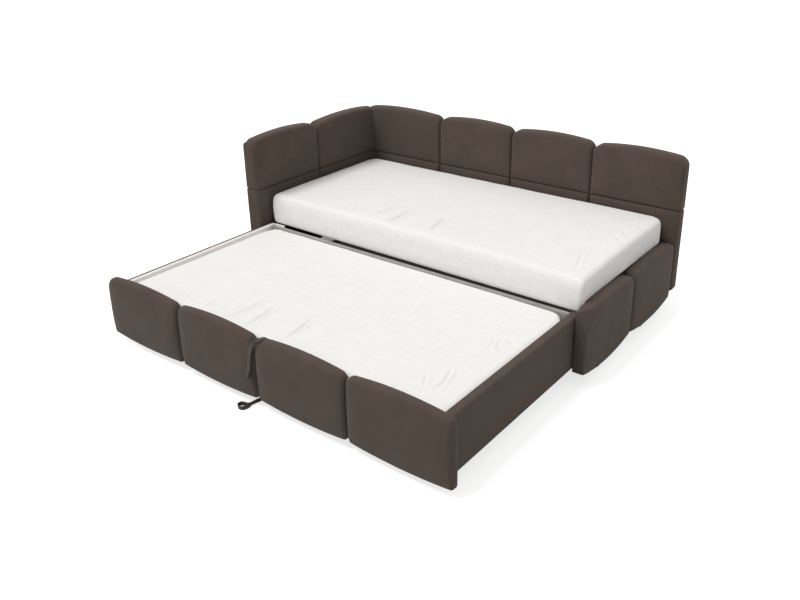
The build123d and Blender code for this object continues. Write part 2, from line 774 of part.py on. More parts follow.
def teardrop(plane, length, belly, inset):
    """Outline of a webbing loop: a point at the plane's origin, and a round end below it."""
    radius = belly / 2
    sine = radius / (length - radius)
    point = -inset / sine
    centre = radius - length
    reach = (radius - inset) / sine * math.sqrt(1 - sine * sine)
    side = reach * sine
    drop = point - reach * math.sqrt(1 - sine * sine)
    with BuildSketch(plane) as outline:
        with BuildLine():
            Line((0, point), (-side, drop))
            ThreePointArc((-side, drop), (0, centre - radius + inset), (side, drop))
            Line((side, drop), (0, point))
        make_face()
    return outline.sketch


def webbing_loop(plane, length, belly):
    """Loop of webbing whose edge lies on the plane, open through its middle."""
    extrude(teardrop(plane, length, belly, 0), amount=strap_width)
    extrude(teardrop(plane, length, belly, strap_thickness), amount=strap_width, mode=Mode.SUBTRACT)


def webbing_run(points, radius, across, along_width):
    """Webbing along straight runs joined by arcs, its width kept in one direction."""
    with BuildLine() as path:
        FilletPolyline(*points, radius=radius)
    start = Vector(*points[0])
    heading = Vector(*points[1]) - start
    with BuildSketch(Plane(origin=start, x_dir=across, z_dir=heading)) as section:
        Rectangle(*along_width)
    sweep(section.sketch, path=path.wires()[0])


def pad_depth(inset):
    """Depth of a front panel's face at a distance in from the panel's side."""
    reach = crown_span_share * (front_top - front_bottom)
    steps = soft_steps(front_thickness, rear_edge, pad_edge, front_crown, reach)
    facing = steps[len(edge_angles):]
    for (depth, edge), (next_depth, next_edge) in zip(facing, facing[1:]):
        if inset <= next_edge:
            return depth + (next_depth - depth) * (inset - edge) / (next_edge - edge)
    return facing[-1][0]


# Upper pull strap: up the back of the front board, over its top and down its face
front_half = (front_panel_width - panel_gap) / 2
shoulder_share = (front_half - upper_strap_offset - strap_width / 2) / front_half
upper_strap_x = front_edges[2] + upper_strap_offset
strap_rear_y = front_rear_y + strap_thickness / 2
strap_top_z = (front_top + front_rise * (1 - shoulder_share ** 2) + strap_standoff
               + strap_thickness / 2)
drift_x = upper_strap_x - upper_strap_drift
strap_reach = max(upper_strap_offset, upper_strap_drift - upper_strap_offset) + strap_width / 2
strap_face_y = front_rear_y - pad_depth(strap_reach) - strap_standoff - strap_thickness / 2
drop_z = strap_top_z - upper_strap_drop
bend_z = strap_top_z - upper_bend_radius
straight_z = drop_z + upper_bend_radius / 2
with BuildPart() as upper_strap:
    webbing_run(((upper_strap_x, strap_rear_y, front_top - upper_strap_tail),
                 (upper_strap_x, strap_rear_y, strap_top_z),
                 (upper_strap_x, strap_face_y, strap_top_z),
                 (upper_strap_x, strap_face_y, bend_z)),
                rear_edge + strap_thickness / 2, (1, 0, 0), (strap_width, strap_thickness))
    webbing_run(((upper_strap_x, strap_face_y, bend_z),
                 (upper_strap_x, strap_face_y, bend_z - upper_bend_radius / 2),
                 (drift_x, strap_face_y, straight_z),
                 (drift_x, strap_face_y, drop_z - loop_overlap)),
                upper_bend_radius / 2, (1, 0, 0), (strap_width, strap_thickness))
    loop_lean = math.asin(upper_loop_belly / 2 / (upper_loop_length - upper_loop_belly / 2))
    webbing_loop(Plane(origin=(drift_x - strap_width / 2, strap_face_y + strap_thickness / 2, drop_z),
                       x_dir=(0, math.cos(loop_lean), -math.sin(loop_lean)), z_dir=(1, 0, 0)),
                 upper_loop_length, upper_loop_belly)
save("upper_strap", upper_strap.part)

# Lower pull strap: from the middle bearer, under the front and along the floor on its edge
strap_hold_x = bearer_places_x[1] - bearer_width / 2 - strap_thickness / 2
floor_z = lower_strap_lift + strap_width / 2
hold_z = bearer_bottom + strap_width / 2
reach_y = front_face_y - lower_strap_reach
slope_end_y = front_rear_y + strap_width / 2
slope_start_y = slope_end_y + lower_strap_slope
apex = (strap_hold_x - lower_apex_left, reach_y - lower_apex_front)
back_share = loop_overlap / math.hypot(lower_apex_left, lower_apex_front)
loop_start = (apex[0] + lower_apex_left * back_share, apex[1] + lower_apex_front * back_share)
with BuildPart() as lower_strap:
    with BuildSketch(Plane.YZ.offset(strap_hold_x - strap_thickness / 2)):
        with BuildLine():
            Polyline((slope_start_y + lower_strap_hold, hold_z - strap_width / 2),
                     (slope_start_y + lower_strap_hold, hold_z + strap_width / 2),
                     (slope_start_y, hold_z + strap_width / 2),
                     (slope_end_y, floor_z + strap_width / 2),
                     (front_rear_y, floor_z + strap_width / 2),
                     (front_rear_y, lower_strap_lift),
                     (slope_end_y, lower_strap_lift),
                     (slope_start_y, hold_z - strap_width / 2), close=True)
        make_face()
    extrude(amount=strap_thickness)
    webbing_run(((strap_hold_x, front_rear_y, floor_z), (strap_hold_x, reach_y, floor_z),
                 (*apex, floor_z)), lower_bend_radius, (0, 0, 1), (strap_width, strap_thickness))
    turn = math.radians(lower_loop_turn)
    webbing_loop(Plane(origin=(*loop_start, lower_strap_lift),
                       x_dir=(math.sin(turn), -math.cos(turn), 0), z_dir=(0, 0, 1)),
                 lower_loop_length, lower_loop_belly)
save("lower_strap", lower_strap.part)

print("length", bed_length, "slide", roll_travel, "front", front_face_y, "rear", lower_rear_y)
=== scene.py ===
"""Upholstered corner daybed with its lower bed rolled out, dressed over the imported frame.

Metres, in the frame of the part: +X along the bed to the foot wall, +Y to the back wall, +Z up.
"""
import json
import math

import bpy
import numpy as np
from mathutils import Matrix, Vector

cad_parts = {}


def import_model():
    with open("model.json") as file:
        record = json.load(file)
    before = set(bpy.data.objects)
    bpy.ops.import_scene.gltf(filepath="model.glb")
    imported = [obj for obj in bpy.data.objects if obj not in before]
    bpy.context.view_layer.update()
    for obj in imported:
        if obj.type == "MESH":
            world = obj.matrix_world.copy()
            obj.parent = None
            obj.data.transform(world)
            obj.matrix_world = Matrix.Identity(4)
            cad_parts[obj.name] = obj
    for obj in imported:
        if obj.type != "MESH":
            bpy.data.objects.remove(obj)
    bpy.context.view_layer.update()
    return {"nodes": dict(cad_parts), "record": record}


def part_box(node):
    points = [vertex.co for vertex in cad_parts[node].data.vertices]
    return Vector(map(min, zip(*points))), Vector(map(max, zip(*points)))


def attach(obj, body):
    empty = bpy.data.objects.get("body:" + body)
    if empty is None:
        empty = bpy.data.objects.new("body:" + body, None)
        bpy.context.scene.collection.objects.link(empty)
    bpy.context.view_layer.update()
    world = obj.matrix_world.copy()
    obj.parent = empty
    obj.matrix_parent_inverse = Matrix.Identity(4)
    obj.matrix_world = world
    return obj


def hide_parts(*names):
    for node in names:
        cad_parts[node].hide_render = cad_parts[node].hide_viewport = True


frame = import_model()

# Camera: the photograph's viewpoint, fitted to the edges of the bed
CAMERA_PLACE = Vector((2.4416, -4.0812, 2.0590))
CAMERA_YAW = math.radians(38.441)
CAMERA_PITCH = math.radians(-22.3739)
CAMERA_ROLL = math.radians(-1.1097)
CAMERA_LENS = 37.024
CAMERA_SENSOR = 36.0
CAMERA_SHIFT = (-0.0001, -0.0692)


def make_camera():
    """Camera that looks along the fitted yaw and pitch, turned by the fitted roll."""
    ahead = Vector((-math.sin(CAMERA_YAW) * math.cos(CAMERA_PITCH),
                    math.cos(CAMERA_YAW) * math.cos(CAMERA_PITCH), math.sin(CAMERA_PITCH)))
    level_right = Vector((math.cos(CAMERA_YAW), math.sin(CAMERA_YAW), 0))
    level_up = level_right.cross(ahead)
    right = math.cos(CAMERA_ROLL) * level_right + math.sin(CAMERA_ROLL) * level_up
    up = math.cos(CAMERA_ROLL) * level_up - math.sin(CAMERA_ROLL) * level_right
    data = bpy.data.cameras.new("photo_camera")
    data.lens = CAMERA_LENS
    data.sensor_width = CAMERA_SENSOR
    data.shift_x, data.shift_y = CAMERA_SHIFT
    camera = bpy.data.objects.new("photo_camera", data)
    turned = Matrix((right, up, -ahead)).transposed().to_4x4()
    camera.matrix_world = Matrix.Translation(CAMERA_PLACE) @ turned
    bpy.context.collection.objects.link(camera)
    bpy.context.scene.camera = camera


make_camera()


# Materials
def arithmetic(nodes, links, operation, first, second):
    """Node that works out one sum of two values, each a socket or a number."""
    node = nodes.new("ShaderNodeMath")
    node.operation = operation
    for socket, value in zip(node.inputs, (first, second)):
        if isinstance(value, (int, float)):
            socket.default_value = value
        else:
            links.new(value, socket)
    return node.outputs[0]


class Shader:
    """Small helper that adds nodes to one new material and links them."""

    def __init__(self, name, colour, roughness, **fixed):
        self.material = bpy.data.materials.new(name)
        self.material.use_nodes = True
        self.nodes = self.material.node_tree.nodes
        self.links = self.material.node_tree.links
        self.surface = self.nodes["Principled BSDF"]
        self.surface.inputs["Base Color"].default_value = (*colour, 1)
        self.surface.inputs["Roughness"].default_value = roughness
        for socket, value in fixed.items():
            self.surface.inputs[socket.replace("_", " ")].default_value = value
        self.place = self.nodes.new("ShaderNodeTexCoord").outputs["Object"]

    def link(self, source, target):
        self.links.new(source, target)
        return source

    def mapped(self, scale):
        """Object coordinates, scaled along each axis."""
        node = self.nodes.new("ShaderNodeMapping")
        node.inputs["Scale"].default_value = scale
        self.link(self.place, node.inputs["Vector"])
        return node.outputs["Vector"]

    def noise(self, scale, detail=2.0, rough=0.5, distortion=0.0):
        """Noise between 0 and 1, with cells of 1/scale metres along each axis."""
        node = self.nodes.new("ShaderNodeTexNoise")
        node.inputs["Scale"].default_value = 1
        node.inputs["Detail"].default_value = detail
        node.inputs["Roughness"].default_value = rough
        node.inputs["Distortion"].default_value = distortion
        self.link(self.mapped(scale), node.inputs["Vector"])
        return node.outputs["Fac"]

    def math(self, operation, first, second):
        """One sum of two values, each a socket or a number."""
        return arithmetic(self.nodes, self.links, operation, first, second)

    def mix(self, first, second, share):
        """The given share of one value and the rest of another."""
        return self.math("ADD", self.math("MULTIPLY", first, share),
                         self.math("MULTIPLY", second, 1 - share))

    def ramp(self, value, stops):
        """Colour ramp over stops of (position, colour)."""
        node = self.nodes.new("ShaderNodeValToRGB")
        ramp = node.color_ramp
        while len(ramp.elements) < len(stops):
            ramp.elements.new(0.5)
        for element, (position, colour) in zip(ramp.elements, stops):
            element.position = position
            element.color = (*colour, 1)
        self.link(value, node.inputs["Fac"])
        return node.outputs["Color"]

    def colour(self, value, low, high, start=0.3, end=0.7):
        """Base colour that runs between two colours with a value."""
        self.link(self.ramp(value, ((start, low), (end, high))), self.surface.inputs["Base Color"])

    def bump(self, height, strength, distance):
        """Bump from a height, chained after any bump before it."""
        node = self.nodes.new("ShaderNodeBump")
        node.inputs["Strength"].default_value = strength
        node.inputs["Distance"].default_value = distance
        self.link(height, node.inputs["Height"])
        before = self.surface.inputs["Normal"]
        if before.is_linked:
            self.link(before.links[0].from_socket, node.inputs["Normal"])
        self.link(node.outputs["Normal"], before)


def shade(colour, factor):
    """A colour made lighter or darker by one factor."""
    return tuple(min(1.0, channel * factor) for channel in colour)


UPHOLSTERY_COLOUR = (0.084, 0.0622, 0.0500)
MATTRESS_COLOUR = (0.885, 0.875, 0.86)
LINING_COLOUR = (0.84, 0.81, 0.77)
WEBBING_COLOUR = (0.068, 0.054, 0.045)


def cross_threads(shader, thread, slub):
    """Threads along X, Y and Z: thin streaks across, long slubs along."""
    along_x = shader.noise((slub, thread, thread), detail=1.0)
    along_y = shader.noise((thread, slub, thread), detail=1.0)
    along_z = shader.noise((thread, thread, slub), detail=1.0)
    return shader.math("MULTIPLY", shader.math("ADD", along_x, shader.math("ADD", along_y, along_z)),
                       1 / 3)


def upholstery_material():
    """Dense short-napped weave: fine threads, soft mottling and a dusty sheen."""
    shader = Shader("upholstery_weave", UPHOLSTERY_COLOUR, 0.9, Sheen_Weight=0.16,
                    Sheen_Roughness=0.45, Sheen_Tint=(0.85, 0.78, 0.7, 1), Specular_IOR_Level=0.25)
    threads = cross_threads(shader, thread=620, slub=60)
    mottle = shader.noise(scale=(9, 9, 9), detail=4.0, rough=0.6)
    shader.colour(shader.mix(threads, mottle, share=0.62), shade(UPHOLSTERY_COLOUR, 0.84),
                  shade(UPHOLSTERY_COLOUR, 1.18), start=0.36, end=0.64)
    shader.bump(threads, strength=0.35, distance=0.0008)
    shader.bump(shader.noise(scale=(45, 45, 45)), strength=0.12, distance=0.0015)
    return shader.material


def mattress_material():
    """Washed linen: uneven threads with slubs, and slight shading from thread to thread."""
    shader = Shader("mattress_linen", MATTRESS_COLOUR, 0.88, Sheen_Weight=0.15,
                    Sheen_Roughness=0.4, Specular_IOR_Level=0.3)
    threads = cross_threads(shader, thread=420, slub=28)
    slubs = cross_threads(shader, thread=150, slub=9)
    weave = shader.mix(threads, slubs, share=0.5)
    shader.colour(weave, shade(MATTRESS_COLOUR, 0.90), shade(MATTRESS_COLOUR, 1.05),
                  start=0.36, end=0.62)
    shader.bump(weave, strength=0.5, distance=0.0012)
    return shader.material


def lining_material():
    """Smooth pale lining cloth, faintly woven."""
    shader = Shader("pale_lining_cloth", LINING_COLOUR, 0.8, Specular_IOR_Level=0.3)
    threads = cross_threads(shader, thread=700, slub=90)
    shader.colour(threads, shade(LINING_COLOUR, 0.94), shade(LINING_COLOUR, 1.05),
                  start=0.4, end=0.6)
    shader.bump(threads, strength=0.2, distance=0.0005)
    return shader.material


def webbing_material():
    """Ribbed narrow webbing."""
    shader = Shader("webbing_rib", WEBBING_COLOUR, 0.75, Sheen_Weight=0.1, Specular_IOR_Level=0.35)
    ribs = cross_threads(shader, thread=1100, slub=240)
    shader.colour(ribs, shade(WEBBING_COLOUR, 0.7), shade(WEBBING_COLOUR, 1.5),
                  start=0.36, end=0.64)
    shader.bump(ribs, strength=0.6, distance=0.0008)
    return shader.material


def steel_material(name, colour, roughness, gloss_spread=0.16):
    """Powder-coated steel: fine orange peel and a little unevenness in the gloss."""
    shader = Shader(name, colour, roughness, Metallic=0.35, Specular_IOR_Level=0.5)
    peel = shader.noise(scale=(260, 260, 260))
    patches = shader.noise(scale=(14, 14, 14), detail=3.0)
    shader.colour(patches, shade(colour, 0.92), shade(colour, 1.1))
    shader.link(shader.math("ADD", shader.math("MULTIPLY", patches, gloss_spread),
                            roughness - gloss_spread / 2), shader.surface.inputs["Roughness"])
    shader.bump(peel, strength=0.12, distance=0.0004)
    return shader.material


def plated_material():
    """Zinc-plated steel with a soft crystalline mottle."""
    shader = Shader("zinc_plated", (0.6, 0.6, 0.58), 0.34, Metallic=1.0)
    spangle = shader.noise(scale=(180, 180, 180), detail=3.0, rough=0.7)
    shader.colour(spangle, (0.48, 0.48, 0.46), (0.68, 0.68, 0.66))
    shader.bump(spangle, strength=0.1, distance=0.0003)
    return shader.material


def wood_material(name, light, dark, along, across):
    """Wood with its grain stretched along one axis, given as scales along X, Y and Z."""
    shader = Shader(name, light, 0.6, Specular_IOR_Level=0.35)
    rings = shader.noise(scale=along, detail=5.0, rough=0.62, distortion=0.6)
    pores = shader.noise(scale=across)
    shader.colour(shader.mix(rings, pores, share=0.75), dark, light, start=0.36, end=0.62)
    shader.bump(pores, strength=0.25, distance=0.0005)
    return shader.material


def plastic_material(name, colour, roughness):
    """Moulded plastic with a fine spark-eroded grain."""
    shader = Shader(name, colour, roughness, Specular_IOR_Level=0.45)
    grain = shader.noise(scale=(900, 900, 900))
    scuffs = shader.noise(scale=(60, 60, 60), detail=4.0, rough=0.7)
    shader.colour(scuffs, shade(colour, 0.85), shade(colour, 1.3))
    shader.bump(grain, strength=0.25, distance=0.0003)
    return shader.material


def felt_material():
    """Pressed felt with loose fibres."""
    shader = Shader("pressed_felt", (0.1, 0.1, 0.1), 0.95, Sheen_Weight=0.4)
    fibres = shader.noise(scale=(400, 400, 400), detail=4.0, rough=0.7, distortion=1.5)
    shader.colour(fibres, (0.05, 0.05, 0.05), (0.16, 0.155, 0.15))
    shader.bump(fibres, strength=0.6, distance=0.001)
    return shader.material


MATERIALS = {
    "upholstery": upholstery_material(),
    "mattress_cloth": mattress_material(),
    "pale_lining": lining_material(),
    "webbing": webbing_material(),
    "felt": felt_material(),
    "timber_board": wood_material("board_wood", light=(0.62, 0.47, 0.31), dark=(0.42, 0.29, 0.17),
                                  along=(2.5, 60, 60), across=(30, 500, 500)),
    "slat_wood": wood_material("slat_wood_grain", light=(0.72, 0.56, 0.37),
                               dark=(0.55, 0.39, 0.23), along=(55, 2.5, 55), across=(500, 30, 500)),
    "grey_steel": steel_material("grey_powder_coat", (0.40, 0.395, 0.37), roughness=0.42),
    "dark_steel": steel_material("black_powder_coat", (0.018, 0.018, 0.018), roughness=0.5),
    "plated_steel": plated_material(),
    "foot_plastic": plastic_material("foot_plastic", (0.02, 0.02, 0.02), roughness=0.5),
    "castor_plastic": plastic_material("castor_plastic", (0.05, 0.05, 0.052), roughness=0.45),
}

node_slots = {part["node"]: part["material_slot"] for part in frame["record"]["subparts"]}
for node, holder in frame["nodes"].items():
    holder.data.materials.clear()
    holder.data.materials.append(MATERIALS[node_slots[node]])

body_of_node = {}
for body, members in frame["record"]["behaviour"]["bodies"].items():
    for member in members:
        body_of_node[member] = body

# Soft forms: every cushion is a closed grid with rounded edges, rounded corners and a crown
X_AXIS = Vector((1, 0, 0))
Y_AXIS = Vector((0, 1, 0))
Z_AXIS = Vector((0, 0, 1))
ROUND_STEPS = 8
SMALLEST_STEP = 0.0009
COARSE_STEP = 0.02
SWELL_POWER = 2.4
WAVE_SPREAD = (0.7, 1.5)
WAVE_COUNT = 7
EDGE_BLEND = 4
BULGE_POWER = 0.5
CROWN_REACH = (0.09, 0.09)
TINY = 1e-9


def edge_places(low, high, low_rounds, high_rounds, coarse, extra=()):
    """Grid lines from low to high, close together over each edge's rounds."""
    turns = [1 - math.cos(math.pi / 2 * step / ROUND_STEPS) for step in range(ROUND_STEPS + 1)]
    places = [low + reach * turn for reach in low_rounds for turn in turns]
    places += [high - reach * turn for reach in high_rounds for turn in turns]
    start = low + max(low_rounds)
    end = high - max(high_rounds)
    count = max(2, round((end - start) / coarse))
    places += [start + (end - start) * step / count for step in range(count + 1)]
    places += list(extra)
    kept = [low]
    for place in sorted(places):
        if place - kept[-1] > SMALLEST_STEP and high - place > SMALLEST_STEP:
            kept.append(place)
    return np.array(kept + [high])


def round_drop(distance, radius):
    """How far a rounded edge falls away at a distance in from it."""
    inside = np.clip(radius - distance, 0, radius)
    return radius - np.sqrt(np.maximum(radius * radius - inside * inside, 0))


def swell(share):
    """Rise from 0 at an edge to 1, level at the end."""
    left = 1 - np.clip(share, 0, 1)
    return 1 - left ** SWELL_POWER


def turn_corner(s, t, half_s, half_t, side_s, side_t, radius):
    """Draw the grid in round one corner of the outline."""
    ps = side_s * s - (half_s - radius)
    pt = side_t * t - (half_t - radius)
    inside = (ps > 0) & (pt > 0)
    far = np.where(inside, np.maximum(ps, pt), 1)
    near = np.where(inside, np.minimum(ps, pt), 0)
    angle = math.pi / 4 * near / far
    angle = np.where(ps >= pt, angle, math.pi / 2 - angle)
    s_new = side_s * (half_s - radius + far * np.cos(angle))
    t_new = side_t * (half_t - radius + far * np.sin(angle))
    return np.where(inside, s_new, s), np.where(inside, t_new, t)


def waves(first, second, seed, length):
    """Soft irregular waves of about one length over two coordinates, from -1 to 1."""
    chance = np.random.default_rng(seed)
    total = np.zeros_like(first)
    for _ in range(WAVE_COUNT):
        heading = chance.uniform(0, math.tau)
        pitch = math.tau / (length * chance.uniform(*WAVE_SPREAD))
        phase = chance.uniform(0, math.tau)
        total += np.sin(pitch * (math.cos(heading) * first + math.sin(heading) * second) + phase)
    return total / WAVE_COUNT


def mesh_object(name, points, faces, slot, body, nodes=()):
    """New smooth-shaded piece that rides a body and may stand for CAD nodes."""
    mesh = bpy.data.meshes.new(name)
    mesh.from_pydata([tuple(point) for point in points], [], faces)
    mesh.validate()
    mesh.update()
    mesh.polygons.foreach_set("use_smooth", [True] * len(mesh.polygons))
    piece = bpy.data.objects.new(name, mesh)
    bpy.context.collection.objects.link(piece)
    mesh.materials.append(MATERIALS[slot])
    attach(piece, body)
    if nodes:
        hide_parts(*nodes)
    return piece


def border(count_s, count_t):
    """Grid indices round the outline, anticlockwise from the low corner."""
    ring = [(i, 0) for i in range(count_s)]
    ring += [(count_s - 1, j) for j in range(1, count_t)]
    ring += [(i, count_t - 1) for i in range(count_s - 2, -1, -1)]
    ring += [(0, j) for j in range(count_t - 2, 0, -1)]
    return ring


def cushion(name, node, origin, axes, size, thickness, slot, rounds, rear_rounds, corners,
            crown=0.0, reach=CROWN_REACH, rise=0.0, drop=0.0, belt_rings=3, bulges=(0, 0, 0, 0),
            coarse=COARSE_STEP, extra_s=(), shape=None, relief=None, belt_relief=None):
    """Closed soft form on a plane through origin. size is its width and height there.

    rounds, rear_rounds and bulges are the edge radii and side swellings at low s, high s, low t
    and high t. corners are the outline radii at (low, low), (high, low), (low, high) and
    (high, high). reach is how far in from the sides and from the ends the crown rises.
    """
    half_s, half_t = size[0] / 2, size[1] / 2
    low_s = [rounds[0], max(corners[0], corners[2])]
    high_s = [rounds[1], max(corners[1], corners[3])]
    low_t = [rounds[2], max(corners[0], corners[1])]
    high_t = [rounds[3], max(corners[2], corners[3])]
    line_s = edge_places(-half_s, half_s, low_s, high_s, coarse, extra_s)
    line_t = edge_places(-half_t, half_t, low_t, high_t, coarse)
    s, t = np.meshgrid(line_s, line_t, indexing="ij")
    gaps = (s + half_s, half_s - s, t + half_t, half_t - t)

    def edge_drop(radii):
        return sum(round_drop(gap, radius) ** EDGE_BLEND
                   for gap, radius in zip(gaps, radii)) ** (1 / EDGE_BLEND)

    front = thickness - edge_drop(rounds)
    front += (crown * swell(np.minimum(gaps[0], gaps[1]) / reach[0])
              * swell(np.minimum(gaps[2], gaps[3]) / reach[1]))
    rear = edge_drop(rear_rounds)
    if shape:
        front, rear = shape(s, t, front, rear)
    for number, (side_s, side_t) in enumerate(((-1, -1), (1, -1), (-1, 1), (1, 1))):
        if corners[number] > 0:
            s, t = turn_corner(s, t, half_s, half_t, side_s, side_t, corners[number])
    height_share = (t + half_t) / size[1]
    arch = 1 - (s / half_s) ** 2
    t = t + rise * arch * height_share - drop * arch * (1 - height_share)
    if relief:
        front = front + relief(s, t)

    ring = border(*s.shape)
    ring_i = np.array([i for i, _ in ring])
    ring_j = np.array([j for _, j in ring])
    edge_s, edge_t = s[ring_i, ring_j], t[ring_i, ring_j]
    along_s = np.roll(edge_s, -1) - np.roll(edge_s, 1)
    along_t = np.roll(edge_t, -1) - np.roll(edge_t, 1)
    length = np.maximum(np.hypot(along_s, along_t), TINY)
    out_s, out_t = along_t / length, -along_s / length
    run = np.cumsum(length)
    front_edge, rear_edge = front[ring_i, ring_j], rear[ring_i, ring_j]
    side_bulge = (np.where(out_s > 0, bulges[1], bulges[0]) * out_s ** 2
                  + np.where(out_t > 0, bulges[3], bulges[2]) * out_t ** 2)

    def world(place_s, place_t, place_n):
        spread = np.stack([place_s.ravel(), place_t.ravel(), place_n.ravel()], axis=1)
        return spread @ np.array([list(axis) for axis in axes]) + np.array(list(origin))

    blocks = [world(s, t, front), world(s, t, rear)]
    for step in range(1, belt_rings + 1):
        share = step / (belt_rings + 1)
        level = front_edge + (rear_edge - front_edge) * share
        push = side_bulge * math.sin(math.pi * share) ** BULGE_POWER
        if belt_relief:
            push = push + belt_relief(run, level) * math.sin(math.pi * share)
        blocks.append(world(edge_s + out_s * push, edge_t + out_t * push, level))
    points = np.concatenate(blocks)

    count_s, count_t = s.shape
    grid = count_s * count_t

    def at(i, j):
        return i * count_t + j

    faces = []
    for i in range(count_s - 1):
        for j in range(count_t - 1):
            quad = (at(i, j), at(i + 1, j), at(i + 1, j + 1), at(i, j + 1))
            faces.append(quad)
            faces.append(tuple(grid + corner for corner in reversed(quad)))
    rings = [[at(i, j) for i, j in ring]]
    for step in range(belt_rings):
        start = 2 * grid + step * len(ring)
        rings.append(list(range(start, start + len(ring))))
    rings.append([grid + at(i, j) for i, j in ring])
    for upper, lower in zip(rings, rings[1:]):
        for here in range(len(ring)):
            after = (here + 1) % len(ring)
            faces.append((upper[here], lower[here], lower[after], upper[after]))
    if Vector(axes[0]).cross(Vector(axes[1])).dot(Vector(axes[2])) < 0:
        faces = [tuple(reversed(face)) for face in faces]
    return mesh_object(name, points, faces, slot, body_of_node[node], (node,))


# Upholstered panels
WALL_RISE = 0.020
WALL_CORNER = 0.048
WALL_CROWN = 0.010
WALL_REACH = (0.09, 0.15)
SEAM_CORNER = 0.007
SIDE_ROUND = 0.018
TOP_ROUND = 0.022
SEAM_ROUND = 0.011
REAR_ROUND = 0.010
CLOTH_WAVE = 0.0006
CLOTH_WAVE_LENGTH = 0.11
PUCKER = 0.0011
PUCKER_REACH = 0.030
PUCKER_LENGTH = 0.045
PUCKER_STRETCH = 0.3
PUCKER_SLANT = 0.25
PUCKER_SEED = 300
END_PAST = 0.006
END_REAR_ROUND = 0.005
BACK_SETTLED = (0, 0, 0.003, 0.007)
LOWER_SEED = 10


def cloth_relief(seed, half_width):
    """Faint waves in a stretched cover, with small puckers where it is sewn in at the sides."""
    def relief(s, t):
        near_side = np.exp(-np.maximum(half_width - np.abs(s), 0) / PUCKER_REACH)
        puckers = waves(s * PUCKER_STRETCH, t + PUCKER_SLANT * np.abs(s), seed + PUCKER_SEED,
                        PUCKER_LENGTH)
        cloth = CLOTH_WAVE * waves(s, t, seed, CLOTH_WAVE_LENGTH)
        return cloth + PUCKER * near_side * puckers
    return relief


def span(node):
    """Lowest and highest corner of a node, and its middle."""
    low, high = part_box(node)
    return low, high, (low + high) / 2


def wall_panel(name, node, across, rear, out, thickness, bottom, top, seed, past=(0, 0), **form):
    """Upright panel: across is the axis it runs along, rear its back plane, out its way out.

    past is how far its padding swells past the ends of its node.
    """
    low, high, middle = span(node)
    shift = (past[1] - past[0]) / 2
    if across == "x":
        axes = (X_AXIS, Z_AXIS, out * Y_AXIS)
        width = high.x - low.x + past[0] + past[1]
        origin = Vector((middle.x + shift, rear, (bottom + top) / 2))
    else:
        axes = (Y_AXIS, Z_AXIS, out * X_AXIS)
        width = high.y - low.y + past[0] + past[1]
        origin = Vector((rear, middle.y + shift, (bottom + top) / 2))
    piece = cushion(name, node, origin, axes, (width, top - bottom), thickness, "upholstery",
                    relief=cloth_relief(seed, width / 2), **form)
    return piece


def make_back_wall():
    """Four upper and four lower panels of the long wall."""
    for number, settled in enumerate(BACK_SETTLED, 1):
        last_one = number == len(BACK_SETTLED)
        rear_end = END_REAR_ROUND if last_one else REAR_ROUND
        node = f"back_pad_upper_{number}"
        low, high, _ = span(node)
        form = dict(past=(0, END_PAST if last_one else 0), crown=WALL_CROWN, reach=WALL_REACH,
                    rear_rounds=(REAR_ROUND, rear_end, REAR_ROUND, REAR_ROUND))
        wall_panel(f"back_cushion_upper_{number}", node, "x", high.y, -1, high.y - low.y - WALL_CROWN,
                   low.z, high.z - WALL_RISE - settled, seed=number, rise=WALL_RISE,
                   rounds=(SIDE_ROUND, SIDE_ROUND, SEAM_ROUND, TOP_ROUND),
                   corners=(SEAM_CORNER, SEAM_CORNER, WALL_CORNER, WALL_CORNER), **form)
        node = f"back_pad_lower_{number}"
        low, high, _ = span(node)
        wall_panel(f"back_cushion_lower_{number}", node, "x", high.y, -1, high.y - low.y - WALL_CROWN,
                   low.z, high.z, seed=LOWER_SEED + number,
                   rounds=(SIDE_ROUND, SIDE_ROUND, SIDE_ROUND, SEAM_ROUND),
                   corners=(SEAM_CORNER * 2, SEAM_CORNER * 2, SEAM_CORNER, SEAM_CORNER), **form)


HEAD_CROWN = 0.006
HEAD_LOW_CROWN = 0.003
HEAD_FRONT_ROUND = 0.030
HEAD_REAR_END = 0.010
HEAD_REAR_TOP = 0.036
HEAD_FIRST_CORNER = 0.042
HEAD_SETTLED = (0, 0.006)
HEAD_THICKNESS = 0.1
HEAD_SEEDS = {"upper": 24, "lower": 20}
LAP_STEP = SMALLEST_STEP * 1.1
LAP_ROOM = 0.001
PRESSED_OVER = 0.03
PRESS_FADE = 0.05


def press_end(piece, end):
    """Hold the end of a cushion back where the front of the lower bed comes to stand."""
    front_top = span("front_pad_1")[1].z + PRESSED_OVER
    for vertex in piece.data.vertices:
        pressed = min(1, max(0, (front_top + PRESS_FADE - vertex.co.z) / PRESS_FADE))
        vertex.co.y = max(vertex.co.y, end - END_PAST * (1 - pressed))


